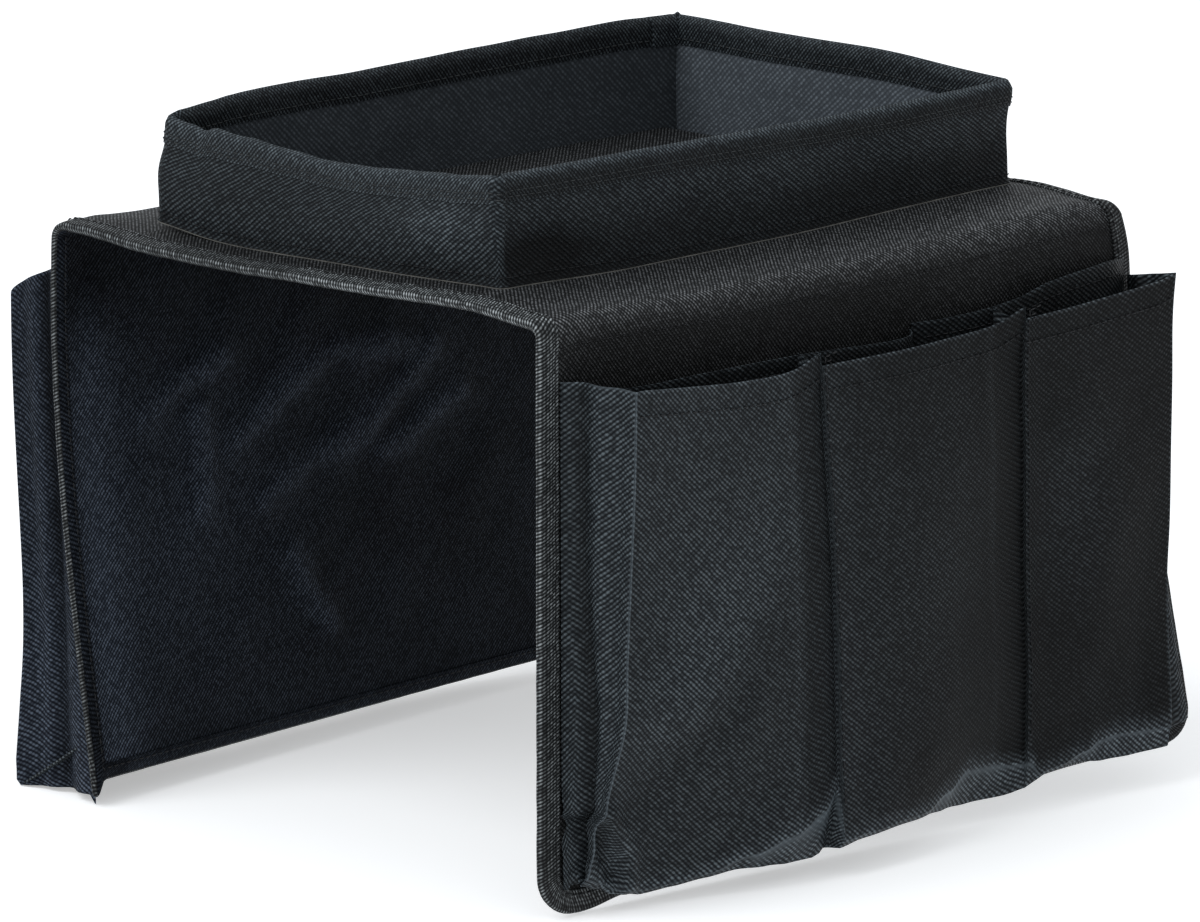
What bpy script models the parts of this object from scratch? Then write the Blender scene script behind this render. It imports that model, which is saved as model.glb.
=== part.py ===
"""Sofa armrest organizer.

A fabric saddle that hangs over a sofa's arm. A stiffened top panel carries a shallow tray, and
two stiffened flaps hang from it on sewn creases. Each flap has a bag of three front pockets
with end gussets and a bottom, and two flatter pockets behind them.

Units are metres and Z is up. The origin is the middle of the lining that rests on the arm.
X runs across the arm, from the left flap to the right flap, and Y runs along it.
"""

from math import asin, cos, pi, sin, sqrt

import bmesh
import bpy
from mathutils import Vector

# The arm that the saddle fits
armrest_width = 0.2577
armrest_length = 0.320
flap_drop = 0.2206

# Cloth, boards and binding tape
cloth = 0.0008
top_board_thickness = 0.0020
flap_board_thickness = 0.0018
tray_board_thickness = 0.0015
tape = 0.0007
gap = 0.0003
tape_leg = 0.0120
flap_corner_radius = 0.0150

# The sewn creases between the top panel and the flaps
crease_reach = 0.0040
lining_clearance = 0.0003
board_clearance = 0.0010
top_tape_setback = 0.0010
flap_tape_start = 0.0050

# The tray
tray_side_margin = 0.0361
tray_end_margin = 0.0195
tray_height = 0.0415
tray_floor_board = 0.0020
rim_tape_leg = 0.0090

# The bag of front pockets on each flap, with places counted from the flap's starting end
mouth_drop = 0.0215
right_mouth_fall = 0.0085
left_mouth_fall = 0.0050
mouth_dip = 0.0030
pocket_start = 0.0146
pocket_end_margin = 0.0030
first_pocket = 0.1045
second_pocket = 0.1150
start_depth = 0.0330
seam_depth = 0.0280
right_end_depth = 0.0270
left_end_depth = 0.0265
pocket_belly = 0.0040
pocket_bottom_clearance = 0.0040
least_depth = 0.0042
bottom_seat_rise = 0.0160

# The flatter pockets behind the bag
inner_start = 0.0300
inner_step = 0.1960
inner_end_margin = 0.0200
long_pocket_depth = 0.0170
short_pocket_depth = 0.0095
long_mouth_drop = 0.0285
short_mouth_drop = 0.0245
inner_bottom_rise = 0.0250

# How the soft flaps hang: how far the finishing end's lower corner stands out or tucks in
right_end_splay = 0.0380
left_end_splay = -0.0140
right_end_sweep = 0.0080
left_end_sweep = 0.0000
splay_power = 1.3

# Shares of the bag's depth that are left at each height, from the mouth to the bottom
height_shares = (0.0, 0.18, 0.36, 0.52, 0.64, 0.76, 0.88, 1.0)
start_depth_shares = (1.0, 1.0, 1.0, 1.0, 1.0, 0.74, 0.42, 0.17)
first_seam_depth_shares = (1.0, 1.03, 1.08, 1.14, 1.18, 1.16, 1.08, 1.0)
second_seam_depth_shares = (1.08, 1.12, 1.15, 1.17, 1.16, 1.10, 0.96, 0.80)
end_depth_shares = (1.12, 1.17, 1.23, 1.28, 1.30, 1.28, 1.24, 1.20)
belly_shares = (0.15, 0.45, 0.75, 1.0, 1.0, 0.85, 0.5, 0.1)

# How far the mouth has fallen from its start at each of the bag's four uprights
mouth_fall_shares = (0.0, 0.7, 0.88, 1.0)

# How far the bag hangs straight down, rather than along the leaning flap, at its four uprights
hang_shares = (0.0, 0.0, 0.5, 1.0)

# Shares of the inner pockets' depth, along the flap and down from the mouth
long_place_shares = (0.0, 0.05, 0.12, 0.25, 0.40, 0.50, 0.65, 0.80, 0.88, 0.94, 1.0)
long_depth_shares = (0.0, 0.26, 0.46, 0.66, 0.78, 0.84, 0.94, 1.0, 0.92, 0.60, 0.0)
short_place_shares = (0.0, 0.08, 0.18, 0.28, 0.50, 0.72, 0.82, 0.92, 1.0)
short_depth_shares = (0.0, 0.50, 0.82, 0.94, 1.0, 0.92, 0.80, 0.50, 0.0)
inner_height_shares = (0.0, 0.15, 0.35, 0.55, 0.75, 0.90, 1.0)
inner_profile_shares = (1.0, 1.0, 0.95, 0.85, 0.60, 0.28, 0.0)

# How finely the layers are divided
flap_columns = 14
flap_rows = 8
corner_shares = (0.0, 0.08, 0.30, 0.62)
corner_steps = 5
crease_steps = 6
pocket_columns = 6
tray_run_steps = 4
gusset_columns = 3

# Worked out from the sizes above
crease_x = armrest_width / 2
panel_thickness = 2 * cloth + 2 * gap + top_board_thickness
flap_thickness = 2 * cloth + 2 * gap + flap_board_thickness
wall_thickness = 2 * cloth + 2 * gap + tray_board_thickness
edge_inset = tape + gap
tray_width = armrest_width - 2 * tray_side_margin
tray_length = armrest_length - 2 * tray_end_margin
panel_cover_level = panel_thickness - cloth / 2
flap_cover_out = flap_thickness - cloth / 2
tray_base = panel_thickness + gap
tray_rim = tray_base + tray_height
pocket_end = armrest_length - pocket_end_margin
tape_place = armrest_length - tape_leg - 2 * gap
inner_pocket_end = armrest_length - inner_end_margin
inner_pocket_drop = flap_drop - inner_bottom_rise
pocket_bottom = flap_drop - pocket_bottom_clearance
upright_places = (pocket_start, pocket_start + first_pocket,
                     pocket_start + first_pocket + second_pocket, pocket_end)


def clear_scene():
    """Empties the scene that the script starts in."""
    for old in list(bpy.data.objects):
        bpy.data.objects.remove(old, do_unlink=True)


def make_material(name, colour, roughness, metallic=0.0):
    """One plain Principled material."""
    material = bpy.data.materials.new(name)
    material.use_nodes = True
    shader = material.node_tree.nodes["Principled BSDF"]
    shader.inputs["Base Color"].default_value = (*colour, 1.0)
    shader.inputs["Roughness"].default_value = roughness
    shader.inputs["Metallic"].default_value = metallic
    return material


def make_hinge(name, place):
    """An empty on a crease's axis, which carries a flap's pieces."""
    hinge = bpy.data.objects.new(name, None)
    hinge.location = place
    bpy.context.scene.collection.objects.link(hinge)
    return hinge


def make_piece(name, rows, material, origin):
    """An object whose faces join points in neighbouring rows."""
    form = bmesh.new()
    points = {}
    for point in [point for row in rows for point in row]:
        if tuple(point) not in points:
            points[tuple(point)] = form.verts.new(point - origin)
    grid = [[points[tuple(point)] for point in row] for row in rows]
    for upper, lower in zip(grid, grid[1:]):
        for a, b, c, d in zip(upper, upper[1:], lower[1:], lower):
            form.faces.new((a, b, c, d))
    bmesh.ops.recalc_face_normals(form, faces=form.faces)
    mesh = bpy.data.meshes.new(name)
    form.to_mesh(mesh)
    form.free()
    mesh.materials.append(material)
    mesh.shade_smooth()
    mesh.set_sharp_from_angle(angle=pi / 6)
    piece = bpy.data.objects.new(name, mesh)
    bpy.context.scene.collection.objects.link(piece)
    return piece


def make_layer(name, rows, thickness, material, hinge=None):
    """One closed layer of cloth, board or tape, thickened to both sides of its middle rows."""
    piece = make_piece(name, rows, material, hinge.location if hinge else Vector())
    piece.parent = hinge
    body = piece.modifiers.new("thickness", "SOLIDIFY")
    body.thickness = thickness
    body.offset = 0.0
    body.use_even_offset = True
    return piece


def evenly(first, last, count):
    """The ends of count equal steps from first to last."""
    return [first + (last - first) * i / count for i in range(count + 1)]


def read_straight(place, places, values):
    """The value at a place, straight between the places where it is given."""
    place = min(max(place, places[0]), places[-1])
    for i, (low, high) in enumerate(zip(places, places[1:])):
        if place <= high:
            return values[i] + (values[i + 1] - values[i]) * (place - low) / (high - low)
    return values[-1]


def read_eased(place, places, values):
    """The value at a place, eased between the places where it is given."""
    place = min(max(place, places[0]), places[-1])
    for i, (low, high) in enumerate(zip(places, places[1:])):
        if place <= high:
            t = (place - low) / (high - low)
            return values[i] + (values[i + 1] - values[i]) * t * t * (3 - 2 * t)
    return values[-1]


class Flap:
    """One side flap. A point on it is given in the flap's own measures.

    along runs from the flap's starting end, drop runs down from the crease, and out runs
    outward from the lining's inner face. The left flap is the right one turned half round.
    """

    def __init__(self, side, turn, end_splay, end_sweep, end_depth, mouth_fall):
        self.side = side
        self.turn = turn
        self.end_splay = end_splay
        self.end_sweep = end_sweep
        self.end_depth = end_depth
        self.mouth_fall = mouth_fall
        self.hinge = make_hinge(f"{side}_flap_hinge", self.place(armrest_length / 2, 0, 0))

    def lean(self, along):
        """The angle at which the flap hangs here, outward from straight down."""
        share = min(max(along / armrest_length, 0), 1)
        return asin(self.end_splay / flap_drop * share ** splay_power)

    def place(self, along, drop, out):
        """The point in the object's frame."""
        lean = self.lean(along)
        x = crease_x + out * cos(lean) + drop * sin(lean)
        sweep = self.end_sweep * along / armrest_length * drop / flap_drop
        y = along - armrest_length / 2 + sweep
        z = out * sin(lean) - drop * cos(lean)
        return Vector((self.turn * x, self.turn * y, z))

    def bag_depth(self, along, height_share):
        """How far the middle of the bag's front panel stands off the flap's outer face."""
        start, first, second, end = (
            read_straight(height_share, height_shares, shares)
            for shares in (start_depth_shares, first_seam_depth_shares,
                           second_seam_depth_shares, end_depth_shares))
        depths = (start_depth * start, seam_depth * first, seam_depth * second,
                  self.end_depth * end)
        belly = pocket_belly * read_straight(height_share, height_shares, belly_shares)
        hang = read_eased(along, upright_places, hang_shares)
        depth = (read_eased(along, upright_places, depths) + belly * self.between_seams(along)
                 - hang * self.bag_drop(along, height_share) * sin(self.lean(along)))
        return least_depth + soft_positive(depth - least_depth, least_depth)

    def between_seams(self, along):
        """0 at the bag's seams and ends, rising to 1 half way between them."""
        for low, high in zip(upright_places, upright_places[1:]):
            if along <= high:
                return sin(pi * max(0, (along - low) / (high - low)))
        return 0

    def bag_drop(self, along, height_share):
        """How far below the crease a height of the bag lies."""
        fall = self.mouth_fall * read_eased(along, upright_places, mouth_fall_shares)
        mouth = mouth_drop + fall + mouth_dip * self.between_seams(along)
        return mouth + (pocket_bottom - mouth) * height_share

    def seat(self, along):
        """The outer face that the bag is sewn to: the cover, or the tape along its end."""
        over_tape = along >= tape_place
        return flap_thickness + (gap + tape if over_tape else 0)


def soft_positive(value, softness):
    """The value where it is well above zero, eased to zero below."""
    return (value + sqrt(value * value + softness * softness)) / 2


def flap_outline(along, inset):
    """The lower edge of a flap's layer, with rounded corners, inset from the flap's outline."""
    radius = flap_corner_radius - inset
    from_end = min(along - inset, armrest_length - inset - along)
    lowest = flap_drop - inset
    if from_end >= radius:
        return lowest
    reach = radius - max(from_end, 0)
    return lowest - radius + sqrt(radius * radius - reach * reach)


def flap_stations(inset):
    """Places along a flap, closer together at its rounded corners."""
    radius = flap_corner_radius - inset
    first = [inset + radius * share for share in corner_shares]
    last = [armrest_length - place for place in reversed(first)]
    middle = evenly(inset + radius, armrest_length - inset - radius, flap_columns)
    return first + middle + last


def flap_layer(flap, name, first_drop, middle_out, thickness, material):
    """A sheet over the whole flap: its lining, board or cover."""
    rows = []
    for share in evenly(0, 1, flap_rows):
        row = []
        for along in flap_stations(edge_inset):
            lowest = flap_outline(along, edge_inset)
            row.append(flap.place(along, first_drop + (lowest - first_drop) * share, middle_out))
        rows.append(row)
    return make_layer(f"{flap.side}_{name}", rows, thickness, material, flap.hinge)


def flap_edge_path(inset):
    """Points along a flap's front end, bottom and rear end, at an inset from its outline."""
    radius = flap_corner_radius - inset
    corner_drop = flap_drop - flap_corner_radius
    points = [(inset, drop) for drop in evenly(flap_tape_start, corner_drop, flap_rows)]
    for angle in evenly(0, pi / 2, corner_steps)[1:]:
        points.append((flap_corner_radius - radius * cos(angle), corner_drop + radius * sin(angle)))
    far = armrest_length - flap_corner_radius
    for along in evenly(flap_corner_radius, far, flap_columns)[1:]:
        points.append((along, flap_drop - inset))
    for angle in evenly(0, pi / 2, corner_steps)[1:]:
        points.append((far + radius * sin(angle), corner_drop + radius * cos(angle)))
    for drop in evenly(corner_drop, flap_tape_start, flap_rows)[1:]:
        points.append((armrest_length - inset, drop))
    return points


def flap_binding(flap, material):
    """The tape folded round the flap's three free edges."""
    inner_out = -gap - tape / 2
    outer_out = flap_thickness + gap + tape / 2
    section = ((tape_leg, inner_out), (tape / 2, inner_out),
               (tape / 2, outer_out), (tape_leg, outer_out))
    rows = [[flap.place(along, drop, out) for along, drop in flap_edge_path(inset)]
            for inset, out in section]
    return make_layer(f"{flap.side}_flap_binding", rows, tape, material, flap.hinge)


def bag_stations():
    """Places along the bag, with one at each upright and one where it steps over the tape."""
    places = [pocket_start]
    for low, high in zip(upright_places, upright_places[1:]):
        places += evenly(low, high, pocket_columns)[1:]
    return sorted(places + [tape_place])


def bag_front_panel(flap, material):
    """The slack panel across the front of the three pockets."""
    rows = [[flap.place(along, flap.bag_drop(along, share),
                        flap_thickness + flap.bag_depth(along, share))
             for along in bag_stations()] for share in height_shares]
    return make_layer(f"{flap.side}_pocket_front_panel", rows, cloth, material, flap.hinge)


def bag_bottom_drop(across_share):
    """How low the bag's bottom is, from its seat on the flap (0) to the front panel (1)."""
    seat_drop = flap_drop - bottom_seat_rise
    return seat_drop + (pocket_bottom - seat_drop) * across_share


def bag_inside(flap, along, height_share):
    """How far out a piece inside the bag can reach here, just short of the front panel."""
    return flap_thickness + flap.bag_depth(along, height_share) - cloth / 2 - gap


def bag_bottom(flap, material):
    """The bag's bottom, from the flap out to the front panel."""
    inside = cloth + gap
    places = [pocket_start + inside] + bag_stations()[1:-1] + [pocket_end - inside]
    rows = []
    for share in evenly(0, 1, gusset_columns):
        row = []
        for along in places:
            near = flap.seat(along) + gap + cloth / 2
            far = bag_inside(flap, along, 1) - gap
            row.append(flap.place(along, bag_bottom_drop(share), near + (far - near) * share))
        rows.append(row)
    return make_layer(f"{flap.side}_pocket_bottom", rows, cloth, material, flap.hinge)


def bag_upright(flap, name, along, drops, lowest_clearance, nearest_out, material):
    """A gusset or a divider: an upright piece square to the flap, inside the front panel.

    Its rows are level at the drops given, and its last row lies along the bag's bottom.
    """
    mouth = flap.bag_drop(along, 0)
    rows = []
    for drop in drops + [None]:
        row = []
        for across in evenly(0, 1, gusset_columns):
            here = drop if drop else bag_bottom_drop(across) - lowest_clearance
            height_share = (here - mouth) / (pocket_bottom - mouth)
            near = nearest_out(along, here)
            far = bag_inside(flap, along, height_share)
            row.append(flap.place(along, here, near + (far - near) * across))
        rows.append(row)
    return make_layer(f"{flap.side}_{name}", rows, cloth, material, flap.hinge)


def inner_drop(along, height_share):
    """How far below the crease a height of the inner pockets lies."""
    mouth = long_mouth_drop if along <= inner_step else short_mouth_drop
    return mouth + (inner_pocket_drop - mouth) * height_share


def inner_depth(along, drop):
    """How far the middle of the inner pockets' cloth stands off the flap's outer face."""
    mouth = inner_drop(along, 0)
    share = (drop - mouth) / (inner_pocket_drop - mouth)
    profile = read_straight(share, inner_height_shares, inner_profile_shares)
    if along <= inner_step:
        place = (along - inner_start) / (inner_step - gap - inner_start)
        depth = long_pocket_depth * read_straight(place, long_place_shares, long_depth_shares)
    else:
        first = inner_step + gap
        place = (along - first) / (inner_pocket_end - first)
        depth = short_pocket_depth * read_straight(place, short_place_shares,
                                                   short_depth_shares)
    return gap + cloth / 2 + depth * profile


def inner_pocket(flap, name, first, last, place_shares, material):
    """One of the two flatter pockets, sewn to the flap along its ends and its bottom."""
    rows = []
    for share in inner_height_shares:
        row = []
        for place in place_shares:
            along = first + (last - first) * place
            drop = inner_drop(along, share)
            row.append(flap.place(along, drop, flap_thickness + inner_depth(along, drop)))
        rows.append(row)
    return make_layer(f"{flap.side}_{name}", rows, cloth, material, flap.hinge)


def build_flap(flap, cloths):
    """A flap with its board, lining, cover, binding and pockets."""
    flap_layer(flap, "flap_lining", lining_clearance, cloth / 2, cloth, cloths["lining"])
    flap_layer(flap, "flap_board", board_clearance, cloth + gap + flap_board_thickness / 2,
               flap_board_thickness, cloths["board"])
    flap_layer(flap, "flap_cover", crease_reach + gap, flap_cover_out, cloth, cloths["cover"])
    flap_binding(flap, cloths["binding"])
    bag_front_panel(flap, cloths["cover"])
    bag_bottom(flap, cloths["cover"])

    def beside_flap(along, drop):
        return flap.seat(along) + gap

    def beside_inner_pocket(along, drop):
        return flap_thickness + inner_depth(along, drop) + cloth / 2 + gap

    for name, along in (("start", pocket_start + cloth / 2), ("end", pocket_end - cloth / 2)):
        drops = [flap.bag_drop(along, share) for share in height_shares[:-1]]
        bag_upright(flap, f"pocket_{name}_gusset", along, drops, 0, beside_flap,
                    cloths["cover"])
    for name, along in (("first", upright_places[1]), ("second", upright_places[2])):
        drops = {flap.bag_drop(along, share) for share in height_shares[:-1]}
        mouth = min(drops)
        behind = {inner_drop(along, share) for share in inner_height_shares}
        drops |= {drop for drop in behind if drop > mouth}
        bag_upright(flap, f"pocket_{name}_divider", along, sorted(drops), cloth / 2 + gap,
                    beside_inner_pocket, cloths["lining"])
    inner_pocket(flap, "inner_pocket_long", inner_start, inner_step - gap,
                 long_place_shares, cloths["cover"])
    inner_pocket(flap, "inner_pocket_short", inner_step + gap, inner_pocket_end,
                 short_place_shares, cloths["cover"])


def fold_crease(flap, material):
    """The strip of the outer cover that turns over the edge and folds as the flap swings."""
    places = flap_stations(edge_inset)
    rows = [[flap.place(along, crease_reach, flap_cover_out) for along in places]]
    for share in evenly(0, 1, crease_steps):
        row = []
        for along in places:
            angle = flap.lean(along) + (pi / 2 - flap.lean(along)) * share
            radius = flap_cover_out + (panel_cover_level - flap_cover_out) * share
            y = flap.place(along, 0, 0).y
            row.append(Vector((flap.turn * (crease_x + radius * cos(angle)), y,
                               radius * sin(angle))))
        rows.append(row)
    rows.append([Vector((flap.turn * (crease_x - crease_reach), flap.place(along, 0, 0).y,
                         panel_cover_level)) for along in places])
    return make_layer(f"{flap.side}_fold_crease", rows, cloth, material)


def flat_layer(name, half_width, half_length, level, thickness, material):
    """A level sheet or board, centred on the origin."""
    places = evenly(-half_width, half_width, tray_run_steps)
    rows = [[Vector((x, y, level)) for x in places]
            for y in evenly(-half_length, half_length, tray_run_steps)]
    return make_layer(name, rows, thickness, material)


def build_top_panel(cloths):
    """The stiffened panel that rests on the arm, with tape round its two free edges.

    The tape's lower legs lie level with the lining, so the panel rests flat on the arm.
    """
    half_length = armrest_length / 2 - edge_inset
    between_tapes = armrest_length / 2 - tape_leg - gap
    flat_layer("top_lining", crease_x - lining_clearance, between_tapes, cloth / 2, cloth,
               cloths["lining"])
    flat_layer("top_board", crease_x - board_clearance, half_length,
               cloth + gap + top_board_thickness / 2, top_board_thickness, cloths["board"])
    flat_layer("top_cover", crease_x - crease_reach - gap, half_length, panel_cover_level, cloth,
               cloths["cover"])
    below = cloth - tape / 2
    above = panel_thickness + gap + tape / 2
    section = ((tape_leg, below), (tape / 2, below), (tape / 2, above), (tape_leg, above))
    half_run = crease_x - top_tape_setback
    for name, turn in (("top_front_binding", 1), ("top_rear_binding", -1)):
        rows = [[Vector((turn * x, turn * (inset - armrest_length / 2), level))
                 for x in evenly(-half_run, half_run, tray_run_steps)]
                for inset, level in section]
        make_layer(name, rows, tape, cloths["binding"])


def tray_wall(name, run_half, offset, direction, cloths):
    """One wall of the tray: a cloth sleeve folded over its rim, round a stiffener.

    direction is the outward side of the wall, offset the distance of its outer face from the
    tray's centre, and run_half half the wall's length.
    """
    across = Vector((-direction.y, direction.x, 0))

    def wall_point(run, inward, level):
        return direction * (offset - inward) + across * run + Vector((0, 0, level))

    runs = evenly(-run_half, run_half, tray_run_steps)
    top = tray_rim - cloth / 2
    section = ((cloth / 2, tray_base), (cloth / 2, top), (wall_thickness - cloth / 2, top),
               (wall_thickness - cloth / 2, tray_base))
    sleeve = [[wall_point(run, inward, level) for run in runs] for inward, level in section]
    make_layer(f"tray_{name}_wall", sleeve, cloth, cloths["cover"])
    board_top = tray_rim - cloth - gap
    board = [[wall_point(run, wall_thickness / 2, level) for run in runs]
             for level in evenly(tray_base, board_top, tray_run_steps)]
    make_layer(f"tray_{name}_stiffener", board, tray_board_thickness, cloths["board"])


def build_tray(cloths):
    """The tray: four sleeved walls, the tape over their rim, and the covered floor board."""
    half_width = tray_width / 2
    half_length = tray_length / 2
    side_run = half_length - wall_thickness - gap
    tray_wall("front", half_width, half_length, Vector((0, -1, 0)), cloths)
    tray_wall("rear", half_width, half_length, Vector((0, 1, 0)), cloths)
    tray_wall("left", side_run, half_width, Vector((-1, 0, 0)), cloths)
    tray_wall("right", side_run, half_width, Vector((1, 0, 0)), cloths)

    outside = gap + tape
    inside = wall_thickness + gap
    rim_top = tray_rim + gap + tape
    rim_low = rim_top - rim_tape_leg
    section = ((gap, rim_low), (outside, rim_low), (outside, rim_top),
               (-inside - tape, rim_top), (-inside - tape, rim_low), (-inside, rim_low),
               (-inside, rim_top - tape), (gap, rim_top - tape), (gap, rim_low))
    corners = ((-1, -1), (1, -1), (1, 1), (-1, 1), (-1, -1))
    rows = [[Vector((sx * (half_width + grow), sy * (half_length + grow), level))
             for sx, sy in corners] for grow, level in section]
    make_piece("tray_rim_binding", rows, cloths["binding"], Vector())

    floor_half_width = half_width - wall_thickness - gap
    floor_half_length = half_length - wall_thickness - gap
    flat_layer("tray_floor_board", floor_half_width, floor_half_length,
               tray_base + tray_floor_board / 2, tray_floor_board, cloths["board"])
    flat_layer("tray_floor_cover", floor_half_width, floor_half_length,
               tray_base + tray_floor_board + gap + cloth / 2, cloth, cloths["lining"])


def main():
    """Builds the whole organizer."""
    clear_scene()
    cloths = {
        "cover": make_material("black_oxford_cloth", (0.022, 0.027, 0.028), 0.62),
        "lining": make_material("black_lining_cloth", (0.014, 0.015, 0.018), 0.70),
        "binding": make_material("black_binding_tape", (0.020, 0.020, 0.021), 0.78),
        "board": make_material("grey_stiffener_board", (0.42, 0.42, 0.40), 0.55),
    }
    build_top_panel(cloths)
    build_tray(cloths)
    for side, turn, splay, sweep, depth, fall in (
            ("right", 1, right_end_splay, right_end_sweep, right_end_depth, right_mouth_fall),
            ("left", -1, left_end_splay, left_end_sweep, left_end_depth, left_mouth_fall)):
        flap = Flap(side, turn, splay, sweep, depth, fall)
        fold_crease(flap, cloths["cover"])
        build_flap(flap, cloths)


main()
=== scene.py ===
"""Looks for the sofa armrest organizer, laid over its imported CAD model.

A cloth saddle for a sofa's arm: a stiff top panel with a soft-walled tray, and a flap each side
that hangs from a sewn fold and carries a pleated bag of pockets. Everything is in metres, in the
CAD model's frame: X across the arm, Y along it, Z up, with the origin under the top panel.
"""

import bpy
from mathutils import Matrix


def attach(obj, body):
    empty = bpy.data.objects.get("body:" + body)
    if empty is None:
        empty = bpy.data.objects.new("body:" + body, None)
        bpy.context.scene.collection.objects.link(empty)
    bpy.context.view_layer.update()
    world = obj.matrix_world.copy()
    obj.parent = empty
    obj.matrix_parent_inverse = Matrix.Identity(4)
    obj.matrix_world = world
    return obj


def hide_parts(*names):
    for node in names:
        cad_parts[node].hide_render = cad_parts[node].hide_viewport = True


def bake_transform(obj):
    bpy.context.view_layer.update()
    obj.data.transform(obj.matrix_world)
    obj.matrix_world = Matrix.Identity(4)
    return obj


bl_info = {
    "name": "Sofa armrest organizer",
    "version": (1, 0, 0),
    "blender": (4, 5, 0),
    "location": "3D View > Sidebar > Organizer",
    "description": "Sews the cloth, tape and stitching of a sofa armrest organizer",
    "category": "Object",
}

from math import asin, cos, exp, hypot, pi, radians, sin, sqrt, tan

import bmesh
import bpy
from bpy.props import FloatProperty, FloatVectorProperty, PointerProperty
from mathutils import Vector, noise

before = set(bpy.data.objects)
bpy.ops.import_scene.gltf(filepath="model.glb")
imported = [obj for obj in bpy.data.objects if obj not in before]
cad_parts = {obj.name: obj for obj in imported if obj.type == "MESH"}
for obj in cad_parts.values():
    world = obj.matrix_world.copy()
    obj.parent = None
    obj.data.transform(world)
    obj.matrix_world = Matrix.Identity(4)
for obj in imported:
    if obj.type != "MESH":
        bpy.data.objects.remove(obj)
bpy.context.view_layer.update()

# Sizes that the CAD model was made from
CREASE_X = 0.12885
LENGTH = 0.320
FLAP_DROP = 0.2206
FOLD_RADIUS = 0.0036
LINING_MIDDLE = 0.0004
BOARD_MIDDLE = 0.00125
COVER_MIDDLE = 0.0021
COVER_OUT = 0.0025
TAPE_LEG = 0.0090
BAG_OUT = 0.0040
TRAY_HALF_WIDTH = 0.09275
TRAY_HALF_LENGTH = 0.1405
TRAY_BASE = 0.0028
TRAY_HEIGHT = 0.0437
TRAY_WALL = 0.0037
POCKET_START = 0.0146
POCKET_END = 0.3170
FIRST_SEAM = 0.1191
SECOND_SEAM = 0.2315
UPRIGHTS = (POCKET_START, FIRST_SEAM, SECOND_SEAM, POCKET_END)
POCKET_BOTTOM = 0.2166
SEAT_DROP = 0.2046
INNER_START = 0.0300
INNER_STEP = 0.1960
INNER_END = 0.3150
INNER_BOTTOM = 0.1956
STANDING_DROP = 0.2274
# The bags' cloth and a stitch's length, as shares of the cloth's thickness and the stitch pitch
BAG_CLOTH_SHARE = 0.75
STITCH_SHARE = 0.72
# How far the rim tape's overlap stands off the tape under it, as a share of the tray's wall
OVERLAP_LIFT = 0.16

# How far the bag stands off the flap at its uprights, from the mouth (0) down to the bottom (1)
HEIGHTS = (0.0, 0.18, 0.36, 0.52, 0.64, 0.76, 0.88, 1.0)
FIRST_DEPTHS = (0.0265, 0.0278, 0.0290, 0.0288, 0.0287, 0.0280, 0.0276, 0.0272)
SECOND_DEPTHS = (0.0282, 0.0286, 0.0282, 0.0273, 0.0273, 0.0270, 0.0254, 0.0211)
BELLY = (0.0004, 0.0012, 0.0020, 0.0026, 0.0028, 0.0026, 0.0016, 0.0004)
HANG_SHARES = (0.0, 0.0, 0.9, 1.0)
LEAST_DEPTH = 0.0042

# The folded pleat at each seam of the bag: how far along and how far in the cloth runs
PLEAT = ((-0.0240, 0.0), (-0.0198, -0.0001), (-0.0184, -0.0005), (-0.0140, -0.0008),
         (-0.0100, -0.0010), (-0.0060, -0.0012), (-0.0024, -0.0014), (-0.0006, -0.0014),
         (-0.0002, -0.0006), (0.0001, 0.0002), (0.0009, 0.0003), (0.0024, 0.0003),
         (0.0055, 0.0002), (0.0100, 0.0001))

# How far below the fold each pocket's mouth lies, at these shares of the pocket's length
MOUTH_SHARES = (0.0, 0.3, 0.6, 0.86, 1.0)
RIGHT_MOUTHS = ((0.0215, 0.0245, 0.0272, 0.0280, 0.0240), (0.0290, 0.0300, 0.0306, 0.0306, 0.0270),
                (0.0316, 0.0322, 0.0320, 0.0312, 0.0278))
LEFT_MOUTHS = ((0.0215, 0.0245, 0.0265, 0.0265, 0.0240), (0.0275, 0.0282, 0.0282, 0.0275, 0.0240),
               (0.0275, 0.0285, 0.0290, 0.0290, 0.0276))

# How high the bag's lower crease stands above its bottom, along the right flap
LIFT_PLACES = (0.0146, 0.030, 0.066, 0.080, 0.100, 0.112, 0.1185, 0.1200, 0.140, 0.168, 0.182,
               0.197, 0.214, 0.2335, 0.2350, 0.250, 0.262, 0.274, 0.285, 0.317)
LIFTS = (0.0030, 0.0020, 0.0020, 0.0060, 0.0130, 0.0200, 0.0260, 0.0030, 0.0020, 0.0025, 0.0090,
         0.0165, 0.0150, 0.0110, 0.0020, 0.0020, 0.0045, 0.0095, 0.0105, 0.0090)

# How far the right bag's bottom is gathered up, along the flap
RAISE_PLACES = (0.0146, 0.022, 0.030, 0.035, 0.042, 0.054, 0.066, 0.079, 0.091, 0.103, 0.115,
                0.1200, 0.131, 0.150, 0.168, 0.186, 0.204, 0.2226, 0.2310, 0.241, 0.259, 0.2775,
                0.296, 0.317)
RAISES = (0.0085, 0.0060, 0.0024, 0.0014, -0.0002, 0.0007, 0.0019, 0.0028, 0.0016, 0.0003, -0.0002,
          0.0029, 0.0040, 0.0042, 0.0032, 0.0010, -0.0010, -0.0019, -0.0013, 0.0023, 0.0032, 0.0011,
          0.0002, -0.0004)

# How far the bag's front edge draws back from the flap's far end, from the mouth to the bottom
END_INSETS = (0.0, 0.0003, 0.0026, 0.0049, 0.0075, 0.0088, 0.0108, 0.0140)

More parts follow.
